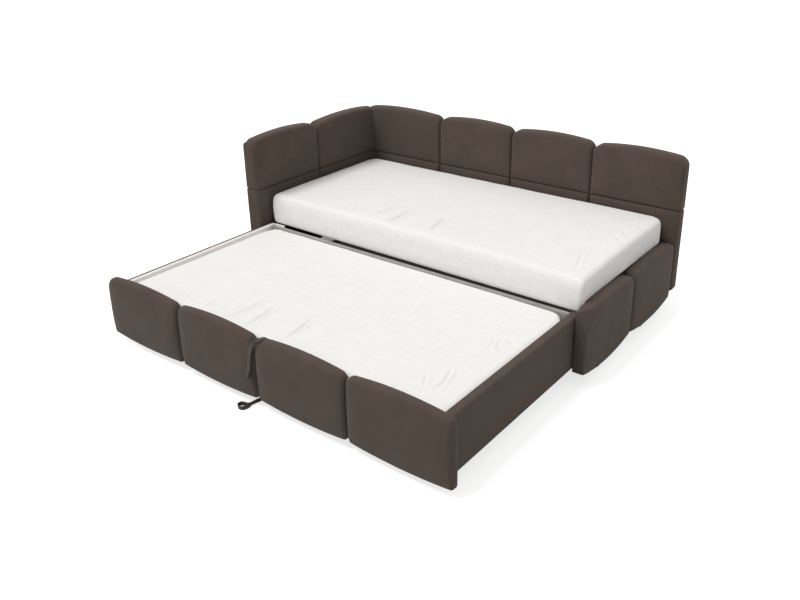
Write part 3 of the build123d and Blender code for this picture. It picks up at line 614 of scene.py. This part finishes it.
def make_head_wall():
    """Four panels of the head wall. The rear ones lap round the end of the back wall."""
    back_low, _, _ = span("back_pad_upper_1")
    wall_front = back_low.y + WALL_CROWN
    for number, settled in enumerate(HEAD_SETTLED, 1):
        front_one = number == 1
        front_round = HEAD_FRONT_ROUND if front_one else SIDE_ROUND
        rear_end = HEAD_REAR_END if front_one else REAR_ROUND
        top_corner = HEAD_FIRST_CORNER if front_one else WALL_CORNER
        for row in ("upper", "lower"):
            node = f"head_pad_{row}_{number}"
            low, high, middle = span(node)
            lap_start = wall_front - middle.y
            lap_depth = back_low.x - low.x - LAP_ROOM

            def lap(s, t, front, rear):
                return np.where(s > lap_start, np.minimum(front, lap_depth), front), rear

            if row == "upper":
                form = dict(crown=HEAD_CROWN, rise=WALL_RISE,
                            rounds=(front_round, SIDE_ROUND, SEAM_ROUND, TOP_ROUND),
                            rear_rounds=(rear_end, REAR_ROUND, REAR_ROUND, HEAD_REAR_TOP),
                            corners=(SEAM_CORNER, SEAM_CORNER, top_corner, WALL_CORNER))
                top = high.z - WALL_RISE - settled
            else:
                form = dict(crown=HEAD_LOW_CROWN,
                            rounds=(front_round, SIDE_ROUND, SIDE_ROUND, SEAM_ROUND),
                            rear_rounds=(rear_end, REAR_ROUND, REAR_ROUND, REAR_ROUND),
                            corners=(2 * SEAM_CORNER, 2 * SEAM_CORNER, SEAM_CORNER, SEAM_CORNER))
                top = high.z
            if not front_one:
                form.update(extra_s=(lap_start, lap_start + LAP_STEP), shape=lap)
            pad = wall_panel(f"head_cushion_{row}_{number}", node, "y", low.x, 1, HEAD_THICKNESS,
                             low.z, top, seed=HEAD_SEEDS[row] + number,
                             past=(END_PAST if front_one else 0, 0), **form)
            if front_one:
                press_end(pad, low.y)


FOOT_RISE = 0.018
FOOT_DROP = 0.030
FOOT_CORNER = 0.032
FOOT_LOW_CORNER = 0.010
FOOT_LOW_ROUND = 0.009
FOOT_INNER_ROUND = 0.004
FOOT_THICKNESS = 0.060
FOOT_CROWN = 0.008
FOOT_END_ROUND = 0.007
FACET_INNER = (-0.054, 0, -0.006)
FACET_BACK = (-0.024, 0.050, 0.006)
FACET_LOW = (-0.008, 0, -0.091)
FOOT_STEP = 0.008
FOOT_SEED = 40


def fold_corner(piece, inner, outer, below):
    """Press the outer top corner of a cushion back onto the plane through three points."""
    normal = (outer - inner).cross(below - inner).normalized()
    if normal.y > 0:
        normal.negate()
    for vertex in piece.data.vertices:
        beyond = (vertex.co - inner).dot(normal)
        if beyond > 0:
            vertex.co = vertex.co - normal * beyond
    piece.data.update()


def make_foot_wall():
    """Two low panels; the front one's outer top corner is folded back in a soft facet."""
    for number in (1, 2):
        node = f"foot_pad_{number}"
        low, high, _ = span(node)
        bottom, top = low.z + FOOT_DROP, high.z - FOOT_RISE
        front_one = number == 1
        end_round = FOOT_END_ROUND if front_one else SIDE_ROUND
        pad = wall_panel(f"foot_cushion_{number}", node, "y", high.x - FOOT_THICKNESS - FOOT_CROWN,
                         1, FOOT_THICKNESS, bottom, top, seed=FOOT_SEED + number,
                         crown=FOOT_CROWN, rise=FOOT_RISE, drop=FOOT_DROP,
                         coarse=FOOT_STEP if front_one else COARSE_STEP,
                         rounds=(end_round, SIDE_ROUND, FOOT_LOW_ROUND, TOP_ROUND),
                         rear_rounds=(end_round, REAR_ROUND, FOOT_INNER_ROUND, FOOT_INNER_ROUND),
                         corners=(FOOT_LOW_CORNER, FOOT_LOW_CORNER if front_one else END_REAR_ROUND,
                                  end_round if front_one else FOOT_CORNER, FOOT_CORNER))
        if front_one:
            tip = Vector((high.x, low.y, top))
            fold_corner(pad, tip + Vector(FACET_INNER), tip + Vector(FACET_BACK),
                        tip + Vector(FACET_LOW))


FRONT_RISE = 0.020
FRONT_DROP = 0.014
FRONT_ROUND = 0.021
FRONT_FIRST_CORNER = 0.052
FRONT_CORNER = 0.036
FRONT_LOW_CORNER = 0.020
FRONT_LAST_CORNER = 0.024
FRONT_LAST_LOW_CORNER = 0.010
FRONT_THICKNESS = 0.040
FRONT_CROWN = 0.016
FRONT_LOW_ROUND = 0.012
FRONT_REACH = (0.09, 0.16)
FRONT_COUNT = 4
FRONT_SEED = 50


def make_lower_front():
    """Four panels across the front of the lower bed. The outer ones' end corners differ."""
    for number in range(1, FRONT_COUNT + 1):
        node = f"front_pad_{number}"
        low, high, _ = span(node)
        first_one, last_one = number == 1, number == FRONT_COUNT
        wall_panel(f"front_cushion_{number}", node, "x", high.y, -1, FRONT_THICKNESS,
                   low.z + FRONT_DROP, high.z - FRONT_RISE, seed=FRONT_SEED + number,
                   crown=FRONT_CROWN, reach=FRONT_REACH, rise=FRONT_RISE, drop=FRONT_DROP,
                   rounds=(FRONT_ROUND, FRONT_ROUND, FRONT_LOW_ROUND, SIDE_ROUND),
                   rear_rounds=(REAR_ROUND,) * 4,
                   corners=(FRONT_LOW_CORNER,
                            FRONT_LAST_LOW_CORNER if last_one else FRONT_LOW_CORNER,
                            FRONT_FIRST_CORNER if first_one else FRONT_CORNER,
                            FRONT_LAST_CORNER if last_one else FRONT_CORNER))


make_back_wall()
make_head_wall()
make_foot_wall()
make_lower_front()


# Mattresses: soft blocks with a broad rounded top edge, wrinkles and a slightly bulging side
MATTRESS_STEP = 0.0045
MATTRESS_REACH = (0.2, 0.2)
MATTRESS_BELTS = 14
RIPPLE = 0.0025
RIPPLE_LENGTH = 0.55
FINE_RIPPLE = 0.35
FINE_RIPPLE_LENGTH = 0.16
BELT_WAVE = 0.0014
BELT_WAVE_LENGTH = 0.2
BELT_SQUEEZE = 1.5
LIP_DEPTH = 0.018
LIP_SLOPE = 0.0065
LIP_RISE = 0.0185
LIP_SAG = 0.004
DROOP = 0.018
DROOP_REACH = (0.55, 0.45)
DROOP_POWER = 1.3
FOOT_PAST = 0.0045
FRONT_LEAN = 0.012
WRINKLE_NARROW = 0.8
WRINKLE_DEEP = 2.5
WRINKLE_TAPER = 0.42
WRINKLE_SWAY = 0.25
SWAY_TURN = 5
SWAY_START = 40
RIDGE_HEIGHT = 0.42
RIDGE_OFF = 1.9
RIDGE_WIDTH = 1.3

# Wrinkles: start x, start y, end x, end y, width and height, in millimetres
UPPER_WRINKLES = [
    (-245, -899, -233, -695, 11, -5.4), (-107, -950, -144, -712, 11, -6.0),
    (130, -922, 92, -698, 11, -5.8), (-453, -950, -498, -850, 9, -2.6),
    (-367, -950, -421, -826, 9, -2.6), (705, -727, 730, -597, 7, -2.4),
    (747, -713, 758, -609, 6, -2.0), (942, -898, 894, -730, 8, -3.2),
    (890, -482, 985, -600, 7, -2.0), (899, -410, 985, -520, 7, -2.2),
    (918, -345, 985, -450, 7, -2.0), (932, -266, 985, -370, 6, -1.8),
    (948, -202, 985, -290, 6, -1.6), (602, -939, 604, -830, 9, -2.0)]
LOWER_WRINKLES = [
    (-253, -1960, -245, -1713, 11, -4.8), (-120, -1959, -160, -1730, 11, -5.4),
    (96, -1926, 68, -1714, 11, -5.2), (-621, -1959, -644, -1851, 8, -2.2),
    (-545, -1970, -599, -1874, 7, -2.2), (-422, -1959, -428, -1833, 8, -2.2),
    (-344, -1953, -360, -1836, 8, -1.6), (625, -1679, 659, -1590, 8, -2.6),
    (686, -1685, 702, -1601, 7, -2.4), (864, -1884, 824, -1712, 9, -4.0),
    (812, -1896, 754, -1792, 7, -2.2), (856, -1509, 830, -1412, 7, -2.0),
    (900, -1508, 858, -1402, 6, -2.0), (930, -1496, 881, -1374, 6, -2.2),
    (945, -1453, 908, -1344, 6, -2.0), (945, -1389, 917, -1293, 6, -1.8)]


def wrinkle_field(wrinkles, middle):
    """Soft ridges and grooves, over places measured from the middle of the mattress."""
    rows = np.array(wrinkles) / 1000 - np.array([middle.x, middle.y, middle.x, middle.y, 0, 0])

    def field(s, t):
        total = np.zeros_like(s)
        for start_s, start_t, end_s, end_t, width, height in rows:
            long_s, long_t = end_s - start_s, end_t - start_t
            length = math.hypot(long_s, long_t)
            along = ((s - start_s) * long_s + (t - start_t) * long_t) / length ** 2
            off = ((s - start_s) * long_t - (t - start_t) * long_s) / length
            off = off + WRINKLE_SWAY * width * np.sin(along * SWAY_TURN + start_s * SWAY_START)
            width, height = width * WRINKLE_NARROW, height * WRINKLE_DEEP
            taper = np.exp(-((along - 0.5) / WRINKLE_TAPER) ** 4)
            groove = np.exp(-(off / width) ** 2)
            ridge = np.exp(-((off - RIDGE_OFF * width) / (RIDGE_WIDTH * width)) ** 2)
            total += height * taper * (groove - RIDGE_HEIGHT * ridge)
        return total
    return field


def mattress(name, node, wrinkles, seed, crown, past=0.0, **form):
    """Soft block in its node's space, with ripples and placed wrinkles on top."""
    low, high, _ = span(node)
    high.x += past
    middle = (low + high) / 2
    placed = wrinkle_field(wrinkles, middle)

    def relief(s, t):
        broad = waves(s, t, seed, RIPPLE_LENGTH) * RIPPLE
        fine = waves(s, t, seed + 1, FINE_RIPPLE_LENGTH) * RIPPLE * FINE_RIPPLE
        return broad + fine + placed(s, t)

    def belt_relief(run, level):
        return BELT_WAVE * waves(run, level * BELT_SQUEEZE, seed + 2, BELT_WAVE_LENGTH)

    piece = cushion(name, node, Vector((middle.x, middle.y, low.z)), (X_AXIS, Y_AXIS, Z_AXIS),
                    (high.x - low.x, high.y - low.y), high.z - low.z - crown - RIPPLE,
                    "mattress_cloth", crown=crown, reach=MATTRESS_REACH,
                    belt_rings=MATTRESS_BELTS, coarse=MATTRESS_STEP, relief=relief,
                    belt_relief=belt_relief, **form)
    return piece


def upper_sides(s, t, front, rear):
    """The front lip hangs lower than the base, and the outer front corner sinks a little."""
    half_s, half_t = np.max(s), np.max(t)
    behind_lip = np.clip((t + half_t - LIP_DEPTH) / LIP_SLOPE, 0, 1)
    near = (np.clip(1 - (half_s - s) / DROOP_REACH[0], 0, 1)
            * np.clip(1 - (t + half_t) / DROOP_REACH[1], 0, 1))
    sag = LIP_SAG * (1 - behind_lip)
    return front - DROOP * near ** DROOP_POWER, np.maximum(rear - sag, LIP_RISE * behind_lip - sag)


def lean_front(piece):
    """Lean the front face out, from nothing at the head end to the full lean at the foot end."""
    low, high, middle = span("upper_mattress")
    for vertex in piece.data.vertices:
        share_x = (vertex.co.x - low.x) / (high.x - low.x)
        share_y = max(0, (middle.y - vertex.co.y) / (middle.y - low.y))
        vertex.co.y -= FRONT_LEAN * share_x * share_y


# Edge radii at the head end, foot end, front and rear, then corner radii and side swellings
UPPER_FORM = dict(rounds=(0.045, 0.028, 0.036, 0.034), rear_rounds=(0.052, 0.006, 0.003, 0.02),
                  corners=(0.040, 0.018, 0.070, 0.070), bulges=(0.001, 0.002, 0.004, 0.001),
                  crown=0.004, past=FOOT_PAST, seed=71)
LOWER_FORM = dict(rounds=(0.028, 0.028, 0.028, 0.014), rear_rounds=(0.02,) * 4,
                  corners=(0.042, 0.042, 0.085, 0.085), bulges=(0.0015,) * 4,
                  crown=0.003, rise=0.005, seed=81)
lean_front(mattress("upper_mattress_form", "upper_mattress", UPPER_WRINKLES, shape=upper_sides,
                    **UPPER_FORM))
mattress("lower_mattress_form", "lower_mattress", LOWER_WRINKLES, **LOWER_FORM)


# Side rails of the lower bed: padded covers and pale linings, as rounded profiles along Y
ARC_STEPS = 5
RAIL_WAVE_LENGTH = 0.16


def rounded_outline(corners):
    """Closed outline through (across, up, radius) corners, each turned with its radius."""
    points = []
    count = len(corners)
    for number, (across, up, radius) in enumerate(corners):
        here = Vector((across, up))
        before = (Vector(corners[number - 1][:2]) - here).normalized()
        after = (Vector(corners[(number + 1) % count][:2]) - here).normalized()
        if radius <= 0:
            points.append(here)
            continue
        half_turn = before.angle(after) / 2
        reach = radius / math.tan(half_turn)
        centre = here + (before + after).normalized() * radius / math.sin(half_turn)
        first, last = here + before * reach - centre, here + after * reach - centre
        for step in range(ARC_STEPS + 1):
            share = step / ARC_STEPS
            spoke = first * (1 - share) + last * share
            points.append(centre + spoke.normalized() * radius)
    return points


def profile_piece(name, node, corners, start, end, end_round, slot, seed, wave):
    """Closed piece with one outline across X and Z, run along Y with rounded ends."""
    outline = rounded_outline(corners)
    count = len(outline)
    area = sum(a.x * b.y - b.x * a.y for a, b in zip(outline, outline[1:] + outline[:1]))
    turned = 1 if area > 0 else -1
    normals = []
    for number in range(count):
        chord = outline[(number + 1) % count] - outline[number - 1]
        normals.append(Vector((chord.y, -chord.x)).normalized() * turned)
    stations = edge_places(start, end, (end_round,), (end_round,), COARSE_STEP)
    points, faces = [], []
    for place in stations:
        drop = float(round_drop(min(place - start, end - place), end_round))
        for number in range(count):
            ripple = wave * float(waves(np.array(place), np.array(outline[number].y), seed,
                                        RAIL_WAVE_LENGTH))
            spot = outline[number] - normals[number] * (drop - ripple)
            points.append((spot.x, place, spot.y))
    for row in range(len(stations) - 1):
        for number in range(count):
            after = (number + 1) % count
            face = (row * count + number, row * count + after,
                    (row + 1) * count + after, (row + 1) * count + number)
            faces.append(face if turned < 0 else tuple(reversed(face)))
    last = (len(stations) - 1) * count
    caps = (tuple(range(count)), tuple(last + number for number in reversed(range(count))))
    faces += [cap if turned > 0 else tuple(reversed(cap)) for cap in caps]
    piece = mesh_object(name, points, faces, slot, body_of_node[node], (node,))
    for polygon in piece.data.polygons:
        if len(polygon.vertices) > 4:
            polygon.use_smooth = False
    return piece


RAIL_ROUND = 0.009
RAIL_LOW_ROUND = 0.003
RAIL_END_ROUND = 0.006
RAIL_LAP_ROUND = 0.0015
RAIL_STEP = 0.003
RAIL_SEED = 91
RAIL_WAVE = 0.0004
SKIN = 0.0004
LINING_ROUND = 0.0022
LEDGE_ROUND = 0.001
LINING_STEP = 0.0026
LAPPED_STEP = 0.0034
LAPPED_ROUND = 0.0008
LINING_END_ROUND = 0.001
LINING_SEED = 95
LINING_WAVE = 0.0003


def make_rails():
    """Covers over the rail boards, and the linings that face the mattress."""
    for side in ("head", "foot"):
        low, high, _ = span(f"{side}_rail_cover")
        board_low, board_high, _ = span(f"{side}_rail")
        lining_low, lining_high, _ = span(f"{side}_rail_lining")
        board_top = board_high.z + SKIN
        step_z = high.z - RAIL_STEP
        ledge = lining_low.x
        if side == "head":
            outer, inner, face_in = low.x, high.x, lining_high.x
            board_outer, board_inner = board_low.x - SKIN, board_high.x + SKIN
            lining_z = high.z - LINING_STEP
            ledge_round = 0
            lining = [(face_in, low.z, 0), (face_in, high.z, LINING_ROUND),
                      (ledge, high.z, LEDGE_ROUND), (ledge, lining_z, 0),
                      (inner + SKIN, lining_z, 0), (inner + SKIN, low.z, 0)]
        else:
            outer, inner, face_in = high.x, low.x, lining_low.x
            board_outer, board_inner = board_high.x + SKIN, board_low.x - SKIN
            lining_z = high.z - LAPPED_STEP
            ledge_round = RAIL_LAP_ROUND
            lining = [(face_in, low.z, 0), (face_in, lining_z, LAPPED_ROUND),
                      (inner - SKIN, lining_z, 0), (inner - SKIN, low.z, 0)]
        corners = [(outer, low.z, RAIL_LOW_ROUND), (outer, high.z, RAIL_ROUND),
                   (ledge, high.z, ledge_round), (ledge, step_z, 0), (inner, step_z, 0),
                   (inner, low.z, 0), (board_inner, low.z, 0), (board_inner, board_top, 0),
                   (board_outer, board_top, 0), (board_outer, low.z, 0)]
        cover = profile_piece(f"{side}_rail_cushion", f"{side}_rail_cover", corners, low.y, high.y,
                              RAIL_END_ROUND, "upholstery", RAIL_SEED, RAIL_WAVE)
        profile_piece(f"{side}_rail_lining_cloth", f"{side}_rail_lining", lining, low.y, high.y,
                      LINING_END_ROUND, "pale_lining", LINING_SEED, LINING_WAVE)


make_rails()


# Pull straps: narrow webbing with a sewn loop at the end
STRAP_WIDTH = 0.021
STRAP_THICKNESS = 0.0018
STRAP_EDGE = 0.0006
STRAP_SPANS = 10


def smooth_run(values, steps):
    """Points along a smooth curve through rows of values."""
    rows = [np.array(row, dtype=float) for row in values]
    rows = [2 * rows[0] - rows[1]] + rows + [2 * rows[-1] - rows[-2]]
    run = []
    for before, start, end, after in zip(rows, rows[1:], rows[2:], rows[3:]):
        for step in range(steps):
            share = step / steps
            run.append(0.5 * (2 * start + (end - before) * share
                              + (2 * before - 5 * start + 4 * end - after) * share ** 2
                              + (3 * start - before - 3 * end + after) * share ** 3))
    run.append(rows[-2])
    return run


def ribbon(name, node, route):
    """Webbing along a route of (x, y, z, across_x, across_y, across_z) rows in millimetres."""
    run = smooth_run(route, STRAP_SPANS)
    centres = [Vector(row[:3]) / 1000 for row in run]
    half_width, half_depth = STRAP_WIDTH / 2, STRAP_THICKNESS / 2
    section = [(-half_width, -half_depth + STRAP_EDGE), (-half_width + STRAP_EDGE, -half_depth),
               (0, -half_depth), (half_width - STRAP_EDGE, -half_depth),
               (half_width, -half_depth + STRAP_EDGE), (half_width, half_depth - STRAP_EDGE),
               (half_width - STRAP_EDGE, half_depth), (0, half_depth),
               (-half_width + STRAP_EDGE, half_depth), (-half_width, half_depth - STRAP_EDGE)]
    count = len(section)
    points, faces = [], []
    for number, row in enumerate(run):
        ahead = centres[min(number + 1, len(run) - 1)] - centres[max(number - 1, 0)]
        ahead.normalize()
        across = Vector(row[3:6])
        across = (across - ahead * across.dot(ahead)).normalized()
        out = ahead.cross(across)
        for side, depth in section:
            points.append(centres[number] + across * side + out * depth)
    for row in range(len(run) - 1):
        for number in range(count):
            after = (number + 1) % count
            faces.append((row * count + number, row * count + after,
                          (row + 1) * count + after, (row + 1) * count + number))
    last = (len(run) - 1) * count
    faces.append(tuple(reversed(range(count))))
    faces.append(tuple(last + number for number in range(count)))
    return mesh_object(name, points, faces, "webbing", body_of_node[node], (node,))


UPPER_STRAP_ROUTE = [
    (50, -2000.9, 332, 1, 0, 0), (50, -2001.2, 346, 1, 0, 0), (50, -2005, 357.5, 1, 0, 0),
    (50, -2015, 362, 1, 0.15, 0), (47, -2030, 362.3, 1, 0.4, 0), (40, -2042, 359.5, 1, 0.6, 0.1),
    (30, -2050.5, 351, 1, 0.5, 0.3), (18, -2054, 337, 1, 0.2, 0.5), (7, -2055, 320, 1, 0, 0.5),
    (-3, -2055.2, 298, 1, 0, 0.4), (-11, -2055, 272, 1, 0, 0.3), (-17, -2055, 245, 1, 0, 0.2),
    (-21, -2055.3, 218, 1, 0, 0.1), (-22, -2056.5, 205, 1, 0, 0), (-22, -2062, 196, 1, 0, 0),
    (-22, -2069, 184, 1, 0, 0), (-22, -2071, 174, 1, 0, 0), (-22, -2066, 166, 1, 0, 0),
    (-22, -2059, 167, 1, 0, 0), (-22, -2055.2, 176, 1, 0, 0), (-22, -2053.8, 190, 1, 0, 0),
    (-22, -2053.6, 210, 1, 0, 0)]
LOWER_STRAP_ROUTE = [
    (-4.6, -1850, 117, 0, 0, 1), (-4.6, -1880, 117, 0, 0, 1), (-5.5, -1905, 115, 0, 0, 1),
    (-10, -1930, 85, 0, 0.55, 1), (-20, -1955, 45, 0, 0.75, 1), (-30, -1980, 18, 0, 0.5, 1),
    (-36, -1997, 11, 0, 0.1, 1), (-37, -2006, 11.2, 0, 0, 1), (-40, -2020, 11.3, 0.1, 0, 1),
    (-42, -2040, 11.3, 0.1, 0, 1), (-46, -2056, 11.4, 0.1, 0, 1), (-60, -2062, 11.4, 0.05, 0.1, 1),
    (-75, -2066, 11.3, 0, 0.1, 1), (-83, -2078, 11.2, 0, 0, 1), (-79, -2092, 11.2, 0, -0.1, 1),
    (-64, -2098, 11.2, 0, -0.1, 1), (-49, -2094, 11.2, 0, 0, 1), (-40, -2082, 11.2, 0, 0, 1),
    (-38, -2066, 11.2, 0, 0, 1), (-39, -2052, 11.2, 0, 0, 1)]
ribbon("upper_pull_strap", "upper_strap", UPPER_STRAP_ROUTE)
ribbon("lower_pull_strap", "lower_strap", LOWER_STRAP_ROUTE)


# Floor, light and background
def soft_step(nodes, links, value, start, end):
    """Smooth rise from 0 to 1 between two values."""
    node = nodes.new("ShaderNodeMapRange")
    node.interpolation_type = "SMOOTHSTEP"
    node.inputs["From Min"].default_value = start
    node.inputs["From Max"].default_value = end
    links.new(value, node.inputs["Value"])
    return node.outputs["Result"]


def product(nodes, links, first, second):
    """One value times another, each a socket or a number."""
    return arithmetic(nodes, links, "MULTIPLY", first, second)


FLOOR_REACH = 30.0
FLOOR_SHADE = 0.62
FLOOR_GLOW = 0.70
# Painted shade on the floor, one box under the bed and one beside the head wall: darkness, then low
# edge, fade, high edge and fade along X and along Y
PAINTED_FLOOR_SHADE = ((0.97, (-1.10, 0.04, 0.94, 0.04), (-1.02, 0.04, -0.06, 0.04)),
              (0.80, (-1.30, 0.15, -1.00, 0.05), (-0.80, 0.25, -0.06, 0.10)))
AMBIENT = 0.60
AMBIENT_COLOUR = (1.0, 0.99, 0.98)
BACKDROP_WHITE = 1.0
SUN_STRENGTH = 1.60
SUN_SPREAD = math.radians(24)
SUN_DIRECTION = Vector((0.30, 0.36, -0.88))


def make_floor():
    """Wide pale floor: white in view, with a soft shadow, and painted shade where the bed hides the
    light.
    """
    mesh = bpy.data.meshes.new("studio_floor")
    mesh.from_pydata([(-FLOOR_REACH, -FLOOR_REACH, 0), (FLOOR_REACH, -FLOOR_REACH, 0),
                      (FLOOR_REACH, FLOOR_REACH, 0), (-FLOOR_REACH, FLOOR_REACH, 0)],
                     [], [(0, 1, 2, 3)])
    floor = bpy.data.objects.new("studio_floor", mesh)
    bpy.context.collection.objects.link(floor)
    material = bpy.data.materials.new("studio_floor_white_painted_shade")
    material.use_nodes = True
    nodes, links = material.node_tree.nodes, material.node_tree.links
    nodes.clear()
    output = nodes.new("ShaderNodeOutputMaterial")
    diffuse = nodes.new("ShaderNodeBsdfDiffuse")
    glow = nodes.new("ShaderNodeEmission")
    seen = nodes.new("ShaderNodeLightPath").outputs["Is Camera Ray"]
    place = nodes.new("ShaderNodeSeparateXYZ")
    links.new(nodes.new("ShaderNodeTexCoord").outputs["Object"], place.inputs[0])
    painted_shade_factor = 1.0
    # Each box paints shade into the floor: it darkens the colour and takes away the glow.
    for darkness, *sides in PAINTED_FLOOR_SHADE:
        inside = darkness
        for axis, (low, low_fade, high, high_fade) in zip(("X", "Y"), sides):
            for edge, full in ((low, low + low_fade), (high, high - high_fade)):
                inside = product(nodes, links, inside,
                                 soft_step(nodes, links, place.outputs[axis], edge, full))
        outside = arithmetic(nodes, links, "SUBTRACT", 1, inside)
        painted_shade_factor = product(nodes, links, painted_shade_factor, outside)
    # Painted shade: the floor's colour and glow are multiplied down inside the boxes.
    links.new(product(nodes, links, painted_shade_factor, FLOOR_SHADE), diffuse.inputs["Color"])
    lit = product(nodes, links, product(nodes, links, seen, FLOOR_GLOW), painted_shade_factor)
    links.new(lit, glow.inputs["Strength"])
    both = nodes.new("ShaderNodeAddShader")
    links.new(diffuse.outputs[0], both.inputs[0])
    links.new(glow.outputs[0], both.inputs[1])
    links.new(both.outputs[0], output.inputs["Surface"])
    mesh.materials.append(material)


def make_light():
    """One soft sun from the front left over an even pale surround; the backdrop reads white."""
    data = bpy.data.lights.new("soft_sun", "SUN")
    data.energy = SUN_STRENGTH
    data.angle = SUN_SPREAD
    sun = bpy.data.objects.new("soft_sun", data)
    sun.rotation_euler = SUN_DIRECTION.to_track_quat("-Z", "Y").to_euler()
    bpy.context.collection.objects.link(sun)
    world = bpy.data.worlds.new("studio_surround")
    bpy.context.scene.world = world
    world.use_nodes = True
    nodes, links = world.node_tree.nodes, world.node_tree.links
    nodes.clear()
    output = nodes.new("ShaderNodeOutputWorld")
    seen = nodes.new("ShaderNodeLightPath")
    in_view = arithmetic(nodes, links, "MAXIMUM", seen.outputs["Is Camera Ray"],
                         seen.outputs["Is Transmission Ray"])
    in_view = arithmetic(nodes, links, "MAXIMUM", in_view, seen.outputs["Is Glossy Ray"])
    ambient = nodes.new("ShaderNodeBackground")
    ambient.inputs["Color"].default_value = (*AMBIENT_COLOUR, 1)
    ambient.inputs["Strength"].default_value = AMBIENT
    white = nodes.new("ShaderNodeBackground")
    white.inputs["Strength"].default_value = BACKDROP_WHITE
    mix = nodes.new("ShaderNodeMixShader")
    links.new(in_view, mix.inputs[0])
    links.new(ambient.outputs[0], mix.inputs[1])
    links.new(white.outputs[0], mix.inputs[2])
    links.new(mix.outputs[0], output.inputs["Surface"])


make_floor()
make_light()
bpy.context.scene.view_settings.view_transform = "Standard"
